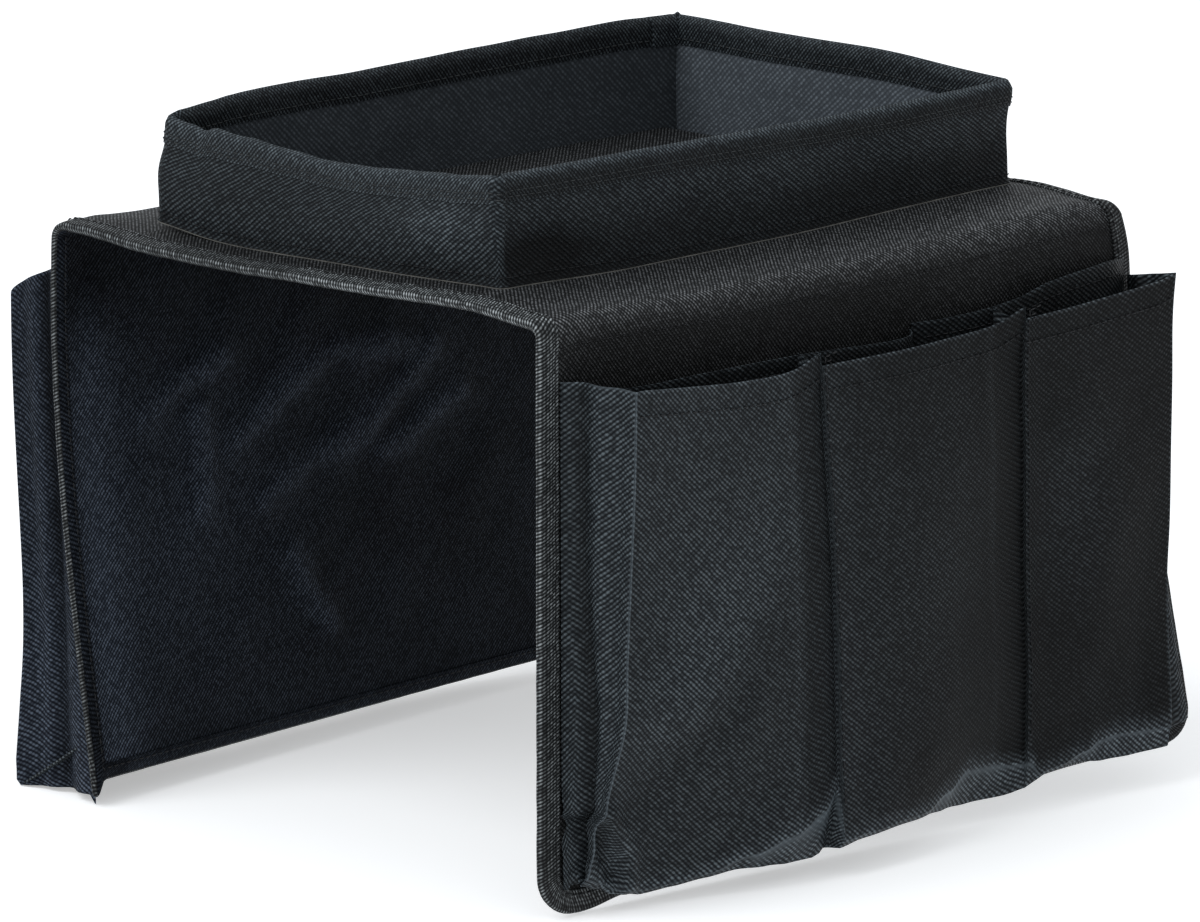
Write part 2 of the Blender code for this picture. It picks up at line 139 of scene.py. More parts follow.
# How far the tray's front and right rims dip below level, along X and along Y
DIP_PLACES = (-1.0, -0.85, -0.76, -0.70, -0.5, -0.25, 0.0, 0.25, 0.5, 0.75, 1.0)
FRONT_DIPS = (0.0015, 0.0034, 0.0050, 0.0034, 0.0046, 0.0063, 0.0075, 0.0070, 0.0054, 0.0037,
              0.0015)
RIGHT_DIPS = (0.0015, 0.0020, 0.0022, 0.0023, 0.0023, 0.0026, 0.0030, 0.0036, 0.0035, 0.0030,
              0.0021)
LEFT_DIPS = (0.0, -0.0008, -0.0014, -0.0016, -0.0013, -0.0009, -0.0014, -0.0020, -0.0026,
             -0.0031, -0.0022)

# Slack ridges in the left lining, as runs of (distance from the near end, drop)
LINING_RIDGES = (((0.045, 0.082), (0.066, 0.071), (0.087, 0.064)),
                 ((0.090, 0.100), (0.118, 0.083), (0.152, 0.069), (0.191, 0.075)),
                 ((0.107, 0.125), (0.135, 0.113), (0.163, 0.106), (0.202, 0.078)),
                 ((0.174, 0.116), (0.197, 0.106), (0.219, 0.099)),
                 ((0.073, 0.083), (0.075, 0.104), (0.072, 0.124)),
                 ((0.120, 0.150), (0.128, 0.168), (0.140, 0.182)))


def eased(t):
    """0 to 1 with a soft start and finish."""
    t = min(max(t, 0.0), 1.0)
    return t * t * (3 - 2 * t)


def hump(x, middle, width):
    """A smooth bump of height 1."""
    return exp(-((x - middle) / width) ** 2)


def read_eased(place, places, values):
    """The value at a place, eased between the places where it is given."""
    place = min(max(place, places[0]), places[-1])
    for i, (low, high) in enumerate(zip(places, places[1:])):
        if place <= high:
            return values[i] + (values[i + 1] - values[i]) * eased((place - low) / (high - low))
    return values[-1]


def read_curve(place, places, values):
    """The value at a place, on a smooth curve through the places where it is given."""
    place = min(max(place, places[0]), places[-1])
    last = len(places) - 1
    for i in range(last):
        if place <= places[i + 1]:
            break
    width = places[i + 1] - places[i]
    t = (place - places[i]) / width

    def slope(k):
        a, b = max(k - 1, 0), min(k + 1, last)
        return (values[b] - values[a]) / (places[b] - places[a]) * width

    s0, s1 = slope(i), slope(i + 1)
    return ((2 * t**3 - 3 * t**2 + 1) * values[i] + (t**3 - 2 * t**2 + t) * s0
            + (3 * t**2 - 2 * t**3) * values[i + 1] + (t**3 - t**2) * s1)


def steps(first, last, count):
    """The ends of count equal steps from first to last."""
    return [first + (last - first) * i / count for i in range(count + 1)]


def ripple(x, y, scale, seed=0.0):
    """Smooth noise between about -1 and 1 that varies over lengths of about scale."""
    return noise.noise(Vector((x / scale, y / scale, seed)))


def from_segment(x, y, start, end):
    """How far a point lies from a straight run."""
    (ax, ay), (bx, by) = start, end
    dx, dy = bx - ax, by - ay
    t = min(max(((x - ax) * dx + (y - ay) * dy) / (dx * dx + dy * dy), 0), 1)
    return hypot(x - ax - dx * t, y - ay - dy * t)


# ---------------------------------------------------------------- forms


def panel_sag(x, y):
    """How far the top panel droops towards its edges, and less at three of its corners."""
    side = eased((abs(x) - 0.092) / 0.037)
    end = eased((abs(y) - 0.139) / 0.021)
    dent = 0.0014 * eased((-y - 0.100) / 0.040) * hump(x, -0.045, 0.045)
    near, far = eased((-y - 0.070) / 0.080), eased(y / 0.140)
    held = (0.0020 * near + 0.0027 * far) * eased((x - 0.020) / 0.080)
    held += (0.0012 + 0.0030 * eased((-y - 0.115) / 0.045)) * eased((-x - 0.085) / 0.040)
    return 0.0026 * side + 0.0022 * end + dent - held


class FlapForm:
    """The shape that one flap hangs in, close to the CAD model's.

    along runs from the flap's starting end, drop runs down from the fold and out runs outward
    from the lining's inner face. The left flap is the right one turned half round.
    """

    def __init__(self, side, turn, end_splay, end_sweep, end_bulge, bow, corners, stretch,
                 bag_bottom, mouths, start_depths, end_depths, seed):
        self.side = side
        self.turn = turn
        self.end_splay = end_splay
        self.end_sweep = end_sweep
        self.end_bulge = end_bulge
        self.bow = bow
        self.corners = corners
        self.stretch = stretch
        self.bag_bottom = bag_bottom
        self.mouths = mouths
        self.start_depths = start_depths
        self.end_depths = end_depths
        self.seed = seed
        self.body = f"{side}_flap"

    def lean(self, along):
        """The angle at which the flap hangs here, outward from straight down."""
        share = min(max(along / LENGTH, 0), 1)
        return asin(self.end_splay / FLAP_DROP * share**1.3)

    def swing(self, along, drop, share=1.0):
        """How far the flap bows out and sweeps along at a drop, and how the panel droops."""
        place = min(max(along / LENGTH, 0), 1)
        t = min(max(drop / FLAP_DROP, 0), 1)
        bow = self.bow * place**1.3 * sin(pi * t**0.8) * share
        sweep = (self.end_sweep * t * t + self.end_bulge * place * hump(drop, 0.014, 0.024)) * place
        sweep *= share
        y = along - LENGTH / 2
        return bow, sweep, panel_sag(self.turn * CREASE_X, self.turn * y) * (1 - t * share)

    def place(self, along, drop, out):
        """The point in the model's frame."""
        lean = self.lean(along)
        bow, sweep, sag = self.swing(along, drop)
        first, last = self.stretch
        hang = drop * (1 + first + (last - first) * min(max(along / LENGTH, 0), 1))
        if out < 0.004:
            if self.turn < 0:
                hang += 0.0062 * hump(along, 0.3190, 0.0026) * eased((drop - 0.204) / 0.016)
            else:
                near, far = hump(along, 0.022, 0.014), hump(along, 0.262, 0.035)
                hang += (0.0028 * near - 0.0020 * far) * eased((drop - 0.185) / 0.030)
        x = CREASE_X + out * cos(lean) + hang * sin(lean) + bow
        y = along - LENGTH / 2 + sweep
        z = out * sin(lean) - hang * cos(lean) - sag
        return Vector((self.turn * x, self.turn * y, z))

    def saddle(self, along, run, out):
        """A point on the cloth that goes over the rounded fold.

        run is negative on the top panel, and below the fold it is the drop.
        """
        lean = self.lean(along)
        start = FOLD_RADIUS * tan((pi / 2 - lean) / 2)
        y = along - LENGTH / 2
        if run >= FOLD_RADIUS:
            share = (run - FOLD_RADIUS) / (FLAP_DROP - FOLD_RADIUS)
            return self.place(along, start + (FLAP_DROP - start) * share, out)
        if run <= -FOLD_RADIUS:
            x = CREASE_X - start + run + FOLD_RADIUS
            sag = panel_sag(self.turn * x, self.turn * y)
            return Vector((self.turn * x, self.turn * y, out - sag))
        share = (run + FOLD_RADIUS) / (2 * FOLD_RADIUS)
        angle = (pi / 2 - lean) * share
        bow, sweep, sag = self.swing(along, start, share)
        x = CREASE_X - start + (FOLD_RADIUS + out) * sin(angle) + bow
        z = (FOLD_RADIUS + out) * cos(angle) - FOLD_RADIUS - sag
        return Vector((self.turn * x, self.turn * (y + sweep), z))

    def between(self, along):
        """How far along its pocket a place is, from 0 to 1."""
        return self.pocket(along)[1]

    def pocket(self, along):
        """Which of the three pockets a place belongs to, and how far along it."""
        for i, (low, high) in enumerate(zip(UPRIGHTS, UPRIGHTS[1:])):
            if along <= high:
                return i, min(max((along - low) / (high - low), 0), 1)
        return 2, 1

    def bag_mouth(self, along):
        """How far below the fold the bag's mouth lies: highest just before each seam."""
        index, share = self.pocket(along)
        return read_curve(share, MOUTH_SHARES, self.mouths[index])

    def bag_depth(self, along, drop):
        """How far the bag's front stands off the flap's outer face."""
        mouth = self.bag_mouth(along)
        share = min(max((drop - mouth) / (POCKET_BOTTOM - mouth), 0), 1)
        depths = [read_curve(share, HEIGHTS, table) for table in
                  (self.start_depths, FIRST_DEPTHS, SECOND_DEPTHS, self.end_depths)]
        belly = read_curve(share, HEIGHTS, BELLY) * sin(pi * self.between(along)) ** 2
        hang = read_eased(along, UPRIGHTS, HANG_SHARES)
        depth = (read_eased(along, UPRIGHTS, depths) + belly
                 - hang * drop * sin(self.lean(along)))
        over = depth - LEAST_DEPTH
        return LEAST_DEPTH + (over + sqrt(over * over + LEAST_DEPTH**2)) / 2


RIGHT = FlapForm("right", 1, 0.0380, 0.0100, 0.0055, 0.0020, (0.0150, 0.0150), (0.017, -0.031),
                 0.2196, RIGHT_MOUTHS,
                 (0.0330, 0.0321, 0.0300, 0.0281, 0.0270, 0.0197, 0.0115, 0.0015),
                 (0.0290, 0.0300, 0.0310, 0.0320, 0.0325, 0.0325, 0.0325, 0.0325), 3.0)
LEFT = FlapForm("left", -1, -0.0185, 0.0, 0.0, 0.0065, (0.0150, 0.0020), (-0.0122, -0.0122),
                0.2266, LEFT_MOUTHS,
                (0.0330, 0.0330, 0.0325, 0.0320, 0.0310, 0.0250, 0.0150, 0.0060),
                (0.0215, 0.0190, 0.0168, 0.0157, 0.0158, 0.0176, 0.0215, 0.0258), 11.0)
FLAPS = (RIGHT, LEFT)


def flap_lowest(flap, along, inset):
    """The lower edge of the flap, with rounded corners, inset from its outline."""
    radius = max(flap.corners[along > LENGTH / 2] - inset, 0.001)
    from_end = min(along - inset, LENGTH - inset - along)
    if from_end >= radius:
        return FLAP_DROP - inset
    reach = radius - max(from_end, 0)
    return FLAP_DROP - inset - radius + sqrt(max(radius * radius - reach * reach, 0))


def edge_path(flap, inset):
    """(along, run) round the saddle's free edge, from the middle of one top edge to the other."""
    first, last = (max(corner - inset, 0.001) + inset for corner in flap.corners)
    path = [(inset, run) for run in steps(-CREASE_X, -FOLD_RADIUS, 50)]
    path += [(inset, run) for run in steps(-FOLD_RADIUS, FOLD_RADIUS, 10)[1:]]
    path += [(inset, run) for run in steps(FOLD_RADIUS, FLAP_DROP - first, 82)[1:]]
    path += [(first - (first - inset) * cos(a), FLAP_DROP - first + (first - inset) * sin(a))
             for a in steps(0, pi / 2, 9)[1:]]
    path += [(along, FLAP_DROP - inset) for along in steps(first, LENGTH - last, 116)[1:]]
    path += [(LENGTH - last + (last - inset) * sin(a), FLAP_DROP - last + (last - inset) * cos(a))
             for a in steps(0, pi / 2, 9)[1:]]
    path += [(LENGTH - inset, run) for run in steps(FLAP_DROP - last, FOLD_RADIUS, 82)[1:]]
    path += [(LENGTH - inset, run) for run in steps(FOLD_RADIUS, -FOLD_RADIUS, 10)[1:]]
    path += [(LENGTH - inset, run) for run in steps(-FOLD_RADIUS, -CREASE_X, 50)[1:]]
    return path


# ---------------------------------------------------------------- sewing


def finish_piece(piece, thickness=0.0, smooth=0.7):
    """Gives the cloth its thickness, makes that final and smooths its shading."""
    if thickness:
        body = piece.modifiers.new("cloth", "SOLIDIFY")
        body.thickness = thickness
        body.offset = 0.0
    graph = bpy.context.evaluated_depsgraph_get()
    mesh = bpy.data.meshes.new_from_object(piece.evaluated_get(graph))
    piece.modifiers.clear()
    piece.data = mesh
    mesh.shade_smooth()
    mesh.set_sharp_from_angle(angle=smooth)
    return piece


def sew_grid(name, rows, material, wear_and_painted_light=None, around=False, thickness=0.0, smooth=0.7,
             second=None):
    """One cloth from rows of points along its middle, with its own lengths as its UV map.

    Each point's lightness, if given, is partly painted light and partly wear: above 0 for painted
    highlights on edges, creases and swells, for painted light from below and for rubbed cloth, and
    under 0 for painted shade and darker cloth. second is another cloth and how many of the first
    rows are made of it.
    """
    mesh = bpy.data.meshes.new(name)
    form = bmesh.new()
    # Each point's lightness, partly painted light and shade and partly wear.
    wear_and_light = form.verts.layers.float.new("wear_and_painted_light")
    verts = [[form.verts.new(p) for p in row] for row in rows]
    if wear_and_painted_light:
        for row, values in zip(verts, wear_and_painted_light):
            for vert, value in zip(row, values):
                vert[wear_and_light] = value
    width = len(rows[0])
    across = [[0.0] * (width + 1) for _ in rows]
    down = [[0.0] * (width + 1) for _ in rows]
    middle = len(rows) // 2
    for i in range(1, width + 1):
        step = (rows[middle][i % width] - rows[middle][i - 1]).length
        for j in range(len(rows)):
            across[j][i] = across[j][i - 1] + step
    for j in range(1, len(rows)):
        lengths = [(rows[j][i % width] - rows[j - 1][i % width]).length for i in range(width + 1)]
        if around:
            lengths = [sum(lengths) / len(lengths)] * len(lengths)
        for i, step in enumerate(lengths):
            down[j][i] = down[j - 1][i] + step
    weave = form.loops.layers.uv.new("weave")
    for j in range(len(rows) - 1):
        for i in range(width if around else width - 1):
            corners = ((j, i), (j, i + 1), (j + 1, i + 1), (j + 1, i))
            face = form.faces.new([verts[a][b % width] for a, b in corners])
            face.material_index = 1 if second and j < second[1] else 0
            for loop, (a, b) in zip(face.loops, corners):
                loop[weave].uv = (across[a][b], down[a][b])
    bmesh.ops.remove_doubles(form, verts=form.verts, dist=0.00003)
    form.to_mesh(mesh)
    form.free()
    mesh.materials.append(material)
    if second:
        mesh.materials.append(second[0])
    piece = bpy.data.objects.new(name, mesh)
    bpy.context.scene.collection.objects.link(piece)
    return finish_piece(piece, thickness, smooth)


def stitch_line(surface, path, lift=0.00025):
    """The stitches of one seam along a path of (a, b) places on surface(a, b, height)."""
    sizes = bpy.context.scene.organizer_sizes
    pitch, length = sizes.stitch_pitch, sizes.stitch_pitch * STITCH_SHARE
    found = []
    travelled, due = 0.0, pitch / 2
    places = [surface(a, b, lift) for a, b in path]
    above = [surface(a, b, lift + 0.001) for a, b in path]
    for i in range(len(path) - 1):
        p, q = places[i], places[i + 1]
        span = (q - p).length
        if span == 0:
            continue
        while travelled + span >= due:
            t = (due - travelled) / span
            up = (above[i] - p).lerp(above[i + 1] - q, t).normalized()
            found.append((p.lerp(q, t), (q - p).normalized(), up, length))
            due += pitch
        travelled += span
    return found


def sew_stitches(name, stitches, body, width=0.00030, thread="thread"):
    """One mesh of small rounded thread loops, which rides on a body."""
    form = bmesh.new()
    for middle, along, up, length in stitches:
        side = along.cross(up).normalized()
        top = side.cross(along).normalized()
        rings = []
        for t, swell, rise in ((-0.5, 0.0, -0.9), (-0.34, 0.85, 0.2), (0.0, 1.0, 0.7),
                               (0.34, 0.85, 0.2), (0.5, 0.0, -0.9)):
            centre = middle + along * (t * length) + top * (rise * width)
            if swell == 0:
                rings.append([form.verts.new(centre)])
                continue
            rings.append([form.verts.new(centre + (side * cos(a) + top * sin(a)) * width * swell)
                          for a in (0.0, pi / 2, pi, 3 * pi / 2)])
        for k in range(4):
            n = (k + 1) % 4
            form.faces.new((rings[0][0], rings[1][n], rings[1][k]))
            form.faces.new((rings[1][k], rings[1][n], rings[2][n], rings[2][k]))
            form.faces.new((rings[2][k], rings[2][n], rings[3][n], rings[3][k]))
            form.faces.new((rings[3][k], rings[3][n], rings[4][0]))
    mesh = bpy.data.meshes.new(name)
    form.to_mesh(mesh)
    form.free()
    mesh.materials.append(cloth(thread))
    mesh.shade_smooth()
    piece = bpy.data.objects.new(name, mesh)
    bpy.context.scene.collection.objects.link(piece)
    if body:
        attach(piece, body)
    return piece


def bend_at_fold(piece, flap):
    """Bakes a piece that crosses the fold into the model's frame."""
    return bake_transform(piece)


# ---------------------------------------------------------------- cloths


class ShaderTree:
    """A material's nodes, with short calls to place and join them."""

    def __init__(self, name):
        self.material = bpy.data.materials.new(name)
        self.material.use_nodes = True
        self.tree = self.material.node_tree
        self.shader = self.tree.nodes["Principled BSDF"]

    def node(self, kind, inputs=(), output=0, **settings):
        """A node with its settings, and its inputs: a number or another's output."""
        made = self.tree.nodes.new(kind)
        for key, value in settings.items():
            setattr(made, key, value)
        for key, value in dict(inputs).items():
            if isinstance(value, bpy.types.NodeSocket):
                self.tree.links.new(value, made.inputs[key])
            else:
                made.inputs[key].default_value = value
        return made.outputs[output]

    def maths(self, operation, a, b=0.0, c=0.0):
        """One step of arithmetic."""
        return self.node("ShaderNodeMath", {0: a, 1: b, 2: c}, operation=operation)

    def colour_mix(self, share, low, high):
        """A colour between two, by a share."""
        made = self.tree.nodes.new("ShaderNodeMix")
        made.data_type = "RGBA"
        for key, value in (("Factor", share), ("A", low), ("B", high)):
            socket = next(s for s in made.inputs if s.name == key and s.enabled)
            if isinstance(value, bpy.types.NodeSocket):
                self.tree.links.new(value, socket)
            else:
                socket.default_value = value
        return next(s for s in made.outputs if s.enabled)


def weave_cloth(name, dark, light, falls, rises, relief, gloss, cloud_share, turning=True,
                bite=1.5):
    """A coarse woven cloth: two crossing families of floats, uneven in tone, and lightened and
    darkened by each point's painted light and wear.

    falls and rises are the families' counts per metre across and down the cloth. The rising
    floats stand out except on faces that look along X, where the falling ones do, as in the
    real cloth under its soft side light. Without turning the falling ones stand out everywhere.
    bite is how much darker the weave is between its highest yarns.
    """
    t = ShaderTree(name)
    place = t.node("ShaderNodeUVMap", uv_map="weave")
    wander = t.node("ShaderNodeTexNoise", {"Vector": place, "Scale": 160.0, "Detail": 2.0})
    wander = t.maths("MULTIPLY_ADD", wander, 0.6, -0.30)
    across = t.node("ShaderNodeSeparateXYZ", {0: place})
    down = t.node("ShaderNodeSeparateXYZ", {0: place}, output=1)

    def family(counts, shift):
        turns = t.maths("MULTIPLY_ADD", down, counts[1], shift)
        return t.maths("MULTIPLY_ADD", across, counts[0], turns)

    def wave(turns):
        return t.maths("MULTIPLY_ADD", t.maths("COSINE", t.maths("MULTIPLY", turns, 2 * pi)),
                       0.5, 0.5)

    falling = family(falls, wander)
    rising = family(rises, t.maths("MULTIPLY", wander, -1.0))
    lean = 0.15
    if turning:
        facing = t.node("ShaderNodeTexCoord", output=1)
        side = t.node("ShaderNodeSeparateXYZ", {0: facing})
        lean = t.maths("MULTIPLY_ADD", t.maths("MULTIPLY", side, side), -7.0, 3.0)
        lean = t.maths("MINIMUM", t.maths("MAXIMUM", lean, 0.13), 0.87)
    low, high = wave(falling), wave(rising)
    strong = t.maths("MULTIPLY_ADD", t.maths("SUBTRACT", high, low), lean, low)
    weak = t.maths("SUBTRACT", t.maths("ADD", high, low), strong)
    floats = t.maths("MULTIPLY", strong, t.maths("MULTIPLY_ADD", weak, 0.42, 0.58))
    cell = t.node("ShaderNodeCombineXYZ", {0: t.maths("ROUND", falling),
                                           1: t.maths("ROUND", rising)})
    chance = t.node("ShaderNodeTexWhiteNoise", {"Vector": cell}, noise_dimensions="2D")
    yarn = t.node("ShaderNodeTexNoise", {"Vector": place, "Scale": 900.0, "Detail": 2.0})
    uneven = t.maths("MULTIPLY_ADD", chance, 0.80, 0.18)
    uneven = t.maths("ADD", uneven, t.maths("MULTIPLY", yarn, 0.75))
    height = t.maths("MULTIPLY", floats, uneven)
    # Each point's lightness, partly painted light and shade and partly wear: it smooths the weave
    # where high and scales the colour, as glow, below.
    wear_and_light = t.node("ShaderNodeAttribute", output=2, attribute_name="wear_and_painted_light")
    smooth = t.maths("MULTIPLY_ADD", wear_and_light, 1.4, -0.9)
    smooth = t.maths("MINIMUM", t.maths("MAXIMUM", smooth, 0.0), 0.8)
    height = t.maths("MULTIPLY_ADD", t.maths("SUBTRACT", 0.38, height), smooth, height)
    tint = t.colour_mix(t.maths("POWER", height, bite), (*dark, 1), (*light, 1))
    spot = t.node("ShaderNodeTexCoord", output=3)
    cloud = t.node("ShaderNodeTexNoise", {"Vector": spot, "Scale": 17.0, "Detail": 3.0})
    glow = t.maths("MULTIPLY_ADD", t.maths("SUBTRACT", cloud, 0.5), cloud_share * 2, 1.0)
    glow = t.maths("MAXIMUM", t.maths("MULTIPLY_ADD", wear_and_light, 1.3, glow), 0.15)
    scaled = t.tree.nodes.new("ShaderNodeVectorMath")
    scaled.operation = "SCALE"
    t.tree.links.new(tint, scaled.inputs[0])
    t.tree.links.new(glow, scaled.inputs["Scale"])
    t.tree.links.new(scaled.outputs[0], t.shader.inputs["Base Color"])
    rough = t.maths("MULTIPLY_ADD", height, -0.2, 0.62)
    t.tree.links.new(rough, t.shader.inputs["Roughness"])
    bump = t.tree.nodes.new("ShaderNodeBump")
    bump.inputs["Strength"].default_value = 1.0
    bump.inputs["Distance"].default_value = relief
    t.tree.links.new(height, bump.inputs["Height"])
    t.tree.links.new(bump.outputs[0], t.shader.inputs["Normal"])
    t.shader.inputs["Sheen Weight"].default_value = gloss * 0.08
    t.shader.inputs["Sheen Roughness"].default_value = 0.4
    t.shader.inputs["Sheen Tint"].default_value = (0.85, 0.95, 1.0, 1.0)
    t.shader.inputs["Specular IOR Level"].default_value = gloss
    return t.material


def speckled(name, dark, light, scale, roughness, relief):
    """A plain matt material with a fine speckle, for board and thread."""
    t = ShaderTree(name)
    spot = t.node("ShaderNodeTexCoord", output=3)
    grain = t.node("ShaderNodeTexNoise", {"Vector": spot, "Scale": scale, "Detail": 3.0})
    tint = t.colour_mix(grain, (*dark, 1), (*light, 1))
    t.tree.links.new(tint, t.shader.inputs["Base Color"])
    t.tree.links.new(t.maths("MULTIPLY_ADD", grain, 0.2, roughness),
                     t.shader.inputs["Roughness"])
    bump = t.tree.nodes.new("ShaderNodeBump")
    bump.inputs["Strength"].default_value = 0.4
    bump.inputs["Distance"].default_value = relief
    t.tree.links.new(grain, bump.inputs["Height"])
    t.tree.links.new(bump.outputs[0], t.shader.inputs["Normal"])
    t.shader.inputs["Specular IOR Level"].default_value = 0.25
    return t.material


CLOTHS = {}
# Plain materials: name, dark and light colour, speckles per metre, roughness and relief
SPECKLED = {
    "piping": ("piping_cloth", (0.004, 0.004, 0.0045), (0.190, 0.186, 0.170), 260, 0.5, 0.0002),
    "thread": ("seam_thread", (0.0020, 0.0020, 0.0026), (0.016, 0.017, 0.019), 900, 0.5, 0.0001),
    "rim thread": ("rim_thread", (0.004, 0.0045, 0.005), (0.045, 0.05, 0.052), 500, 0.5, 0.0001),
    "board": ("stiffener_board", (0.10, 0.10, 0.095), (0.16, 0.16, 0.15), 900, 0.6, 0.0001),
}


def cloth(name):
    """A cloth by name, made the first time it is wanted."""
    if name in CLOTHS:
        return CLOTHS[name]
    colours = bpy.context.scene.organizer_colours
    pitch = bpy.context.scene.organizer_sizes.weave_pitch
    slant = (1 / (pitch * 0.92 * 1.63), 1 / (pitch * 0.92 * 1.26))
    steep = (1 / (pitch * 0.74 * 1.38), 1 / (pitch * 0.74 * 1.52))
    ribs = ((1 / (pitch * 0.76), 1 / 0.0032), (0.0, 1 / (pitch * 0.9)))

    def crossing(counts):
        return (counts[0], -counts[1]), counts

    weaves = {
        "pocket": ("pocket_cloth", "cloth", crossing(slant), (0.00036, 0.09, 0.30), {}),
        "inside": ("tray_inside_cloth", "inside", crossing(slant), (0.00014, 0.09, 0.20), {}),
        "panel": ("panel_cloth", "panel", crossing(steep), (0.00036, 0.12, 0.30), {"bite": 2.1}),
        "lining": ("lining_cloth", "lining", crossing(steep), (0.00014, 0.03, 0.40), {}),
        "tape": ("binding_tape", "tape", ribs, (0.00040, 0.12, 0.30),
                 {"turning": False, "bite": 2.1}),
        "rim": ("rim_tape", "cloth", crossing(steep), (0.00030, 0.09, 0.30), {}),
    }
    if name in weaves:
        title, tint, counts, numbers, options = weaves[name]
        made = weave_cloth(title, getattr(colours, f"{tint}_dark"),
                           getattr(colours, f"{tint}_light"), *counts, *numbers, **options)
    else:
        made = speckled(*SPECKLED[name])
    CLOTHS[name] = made
    return made


# ---------------------------------------------------------------- what a user can change


def length_property(**told):
    """A small length that a user can change."""
    return FloatProperty(precision=4, unit="LENGTH", **told)


def colour_property(**told):
    """A colour that a user can change."""
    return FloatVectorProperty(min=0, max=1, subtype="COLOR", **told)


class OrganizerSizes(bpy.types.PropertyGroup):
    """Sizes of the cloth and its sewing."""

    cloth_thickness: length_property(
        name="Cloth thickness", description="Thickness of the woven cloth",
        default=0.0008, min=0.0003, max=0.002)
    tape_thickness: length_property(
        name="Tape thickness", description="Thickness of the binding tape",
        default=0.0007, min=0.0003, max=0.002)
    weave_pitch: length_property(
        name="Weave pitch", description="Spacing of the weave's slanting ribs",
        default=0.0018, min=0.0005, max=0.004)
    stitch_pitch: length_property(
        name="Stitch pitch", description="Distance from one stitch to the next",
        default=0.0036, min=0.002, max=0.008)
    hem_depth: length_property(
        name="Hem depth", description="Depth of the hem at each pocket's mouth",
        default=0.0095, min=0.004, max=0.02)
    wrinkle_depth: length_property(
        name="Wrinkle depth", description="How deep the slack cloth's wrinkles are",
        default=0.0011, min=0.0, max=0.004)


class OrganizerColours(bpy.types.PropertyGroup):
    """Colours of the cloths, as the weave's hollows and its raised yarns."""

    cloth_dark: colour_property(
        name="Pocket cloth, hollows", description="Colour deep in the pocket cloth's weave",
        default=(0.0020, 0.0025, 0.0034))
    cloth_light: colour_property(
        name="Pocket cloth, yarns", description="Colour of the pocket cloth's raised yarns",
        default=(0.062, 0.075, 0.083))
    inside_dark: colour_property(
        name="Tray lining, hollows", description="Colour deep in the weave inside the tray",
        default=(0.044, 0.051, 0.059))
    inside_light: colour_property(
        name="Tray lining, yarns", description="Colour of the raised yarns inside the tray",
        default=(0.128, 0.148, 0.168))
    panel_dark: colour_property(
        name="Panel cloth, hollows", description="Colour deep in the panel cloth's weave",
        default=(0.0018, 0.0020, 0.0022))
    panel_light: colour_property(
        name="Panel cloth, yarns", description="Colour of the panel cloth's raised yarns",
        default=(0.106, 0.111, 0.116))
    lining_dark: colour_property(
        name="Lining, hollows", description="Colour deep in the lining's weave",
        default=(0.0022, 0.0028, 0.0044))
    lining_light: colour_property(
        name="Lining, yarns", description="Colour of the lining's raised yarns",
        default=(0.043, 0.053, 0.070))
    tape_dark: colour_property(
        name="Tape, hollows", description="Colour between the binding tape's yarns",
        default=(0.0022, 0.0026, 0.0030))
    tape_light: colour_property(
        name="Tape, yarns", description="Colour of the binding tape's raised yarns",
        default=(0.235, 0.255, 0.262))
    floor: colour_property(
        name="Floor", description="Colour of the floor under the organizer",
        default=(0.86, 0.87, 0.88))


# The studio: the sky, and each lamp's aim, power, spread in degrees and colour
SKY_COLOUR = (0.94, 0.97, 1.0, 1)
SKY_STRENGTH = 0.62
LAMPS = (("key", (0.10, 0.62, -0.75), 1.37, 42, (0.965, 0.98, 1.0)),
         ("fill", (-0.75, 0.25, -0.55), 0.35, 60, (0.95, 0.98, 1.0)))
# How far the camera stands beside and above the line through the organizer's middle
SHIFT_RIGHT = 0.0054
SHIFT_UP = 0.0223


class OrganizerStage(bpy.types.PropertyGroup):
    """Where the camera stands and how strong the light is."""

    distance: FloatProperty(
        name="Camera distance", description="From the organizer to the camera",
        default=3.5, min=0.5, max=10, unit="LENGTH")
    azimuth: FloatProperty(
        name="Camera azimuth", description="How far round the camera stands",
        default=radians(43.98), subtype="ANGLE")
    elevation: FloatProperty(
        name="Camera elevation", description="How high above the horizon the camera stands",
        default=radians(12.69), subtype="ANGLE")
    lens: FloatProperty(
        name="Focal length", description="The camera's focal length in millimetres",
        default=269.1, min=20, max=600)
    light: FloatProperty(
        name="Light", description="Strength of the soft studio light", default=1.0, min=0, max=5)


# ---------------------------------------------------------------- top panel and flaps


class MakeTopCover(bpy.types.Operator):
    """Lays the cover over the middle of the top panel"""

    bl_idname = "organizer.top_cover"
    bl_label = "Top cover"

    def execute(self, context):
        half = 0.0900
        level = COVER_MIDDLE
        rows = []
        for y in steps(-LENGTH / 2 + 0.001, LENGTH / 2 - 0.001, 130):
            rows.append([Vector((x, y, level - panel_sag(x, y)))
                         for x in steps(-half, half, 60)])
        piece = sew_grid("top_cover_cloth", rows, cloth("panel"),
                         thickness=context.scene.organizer_sizes.cloth_thickness)
        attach(piece, "top")
        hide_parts("top_cover")
        return {"FINISHED"}


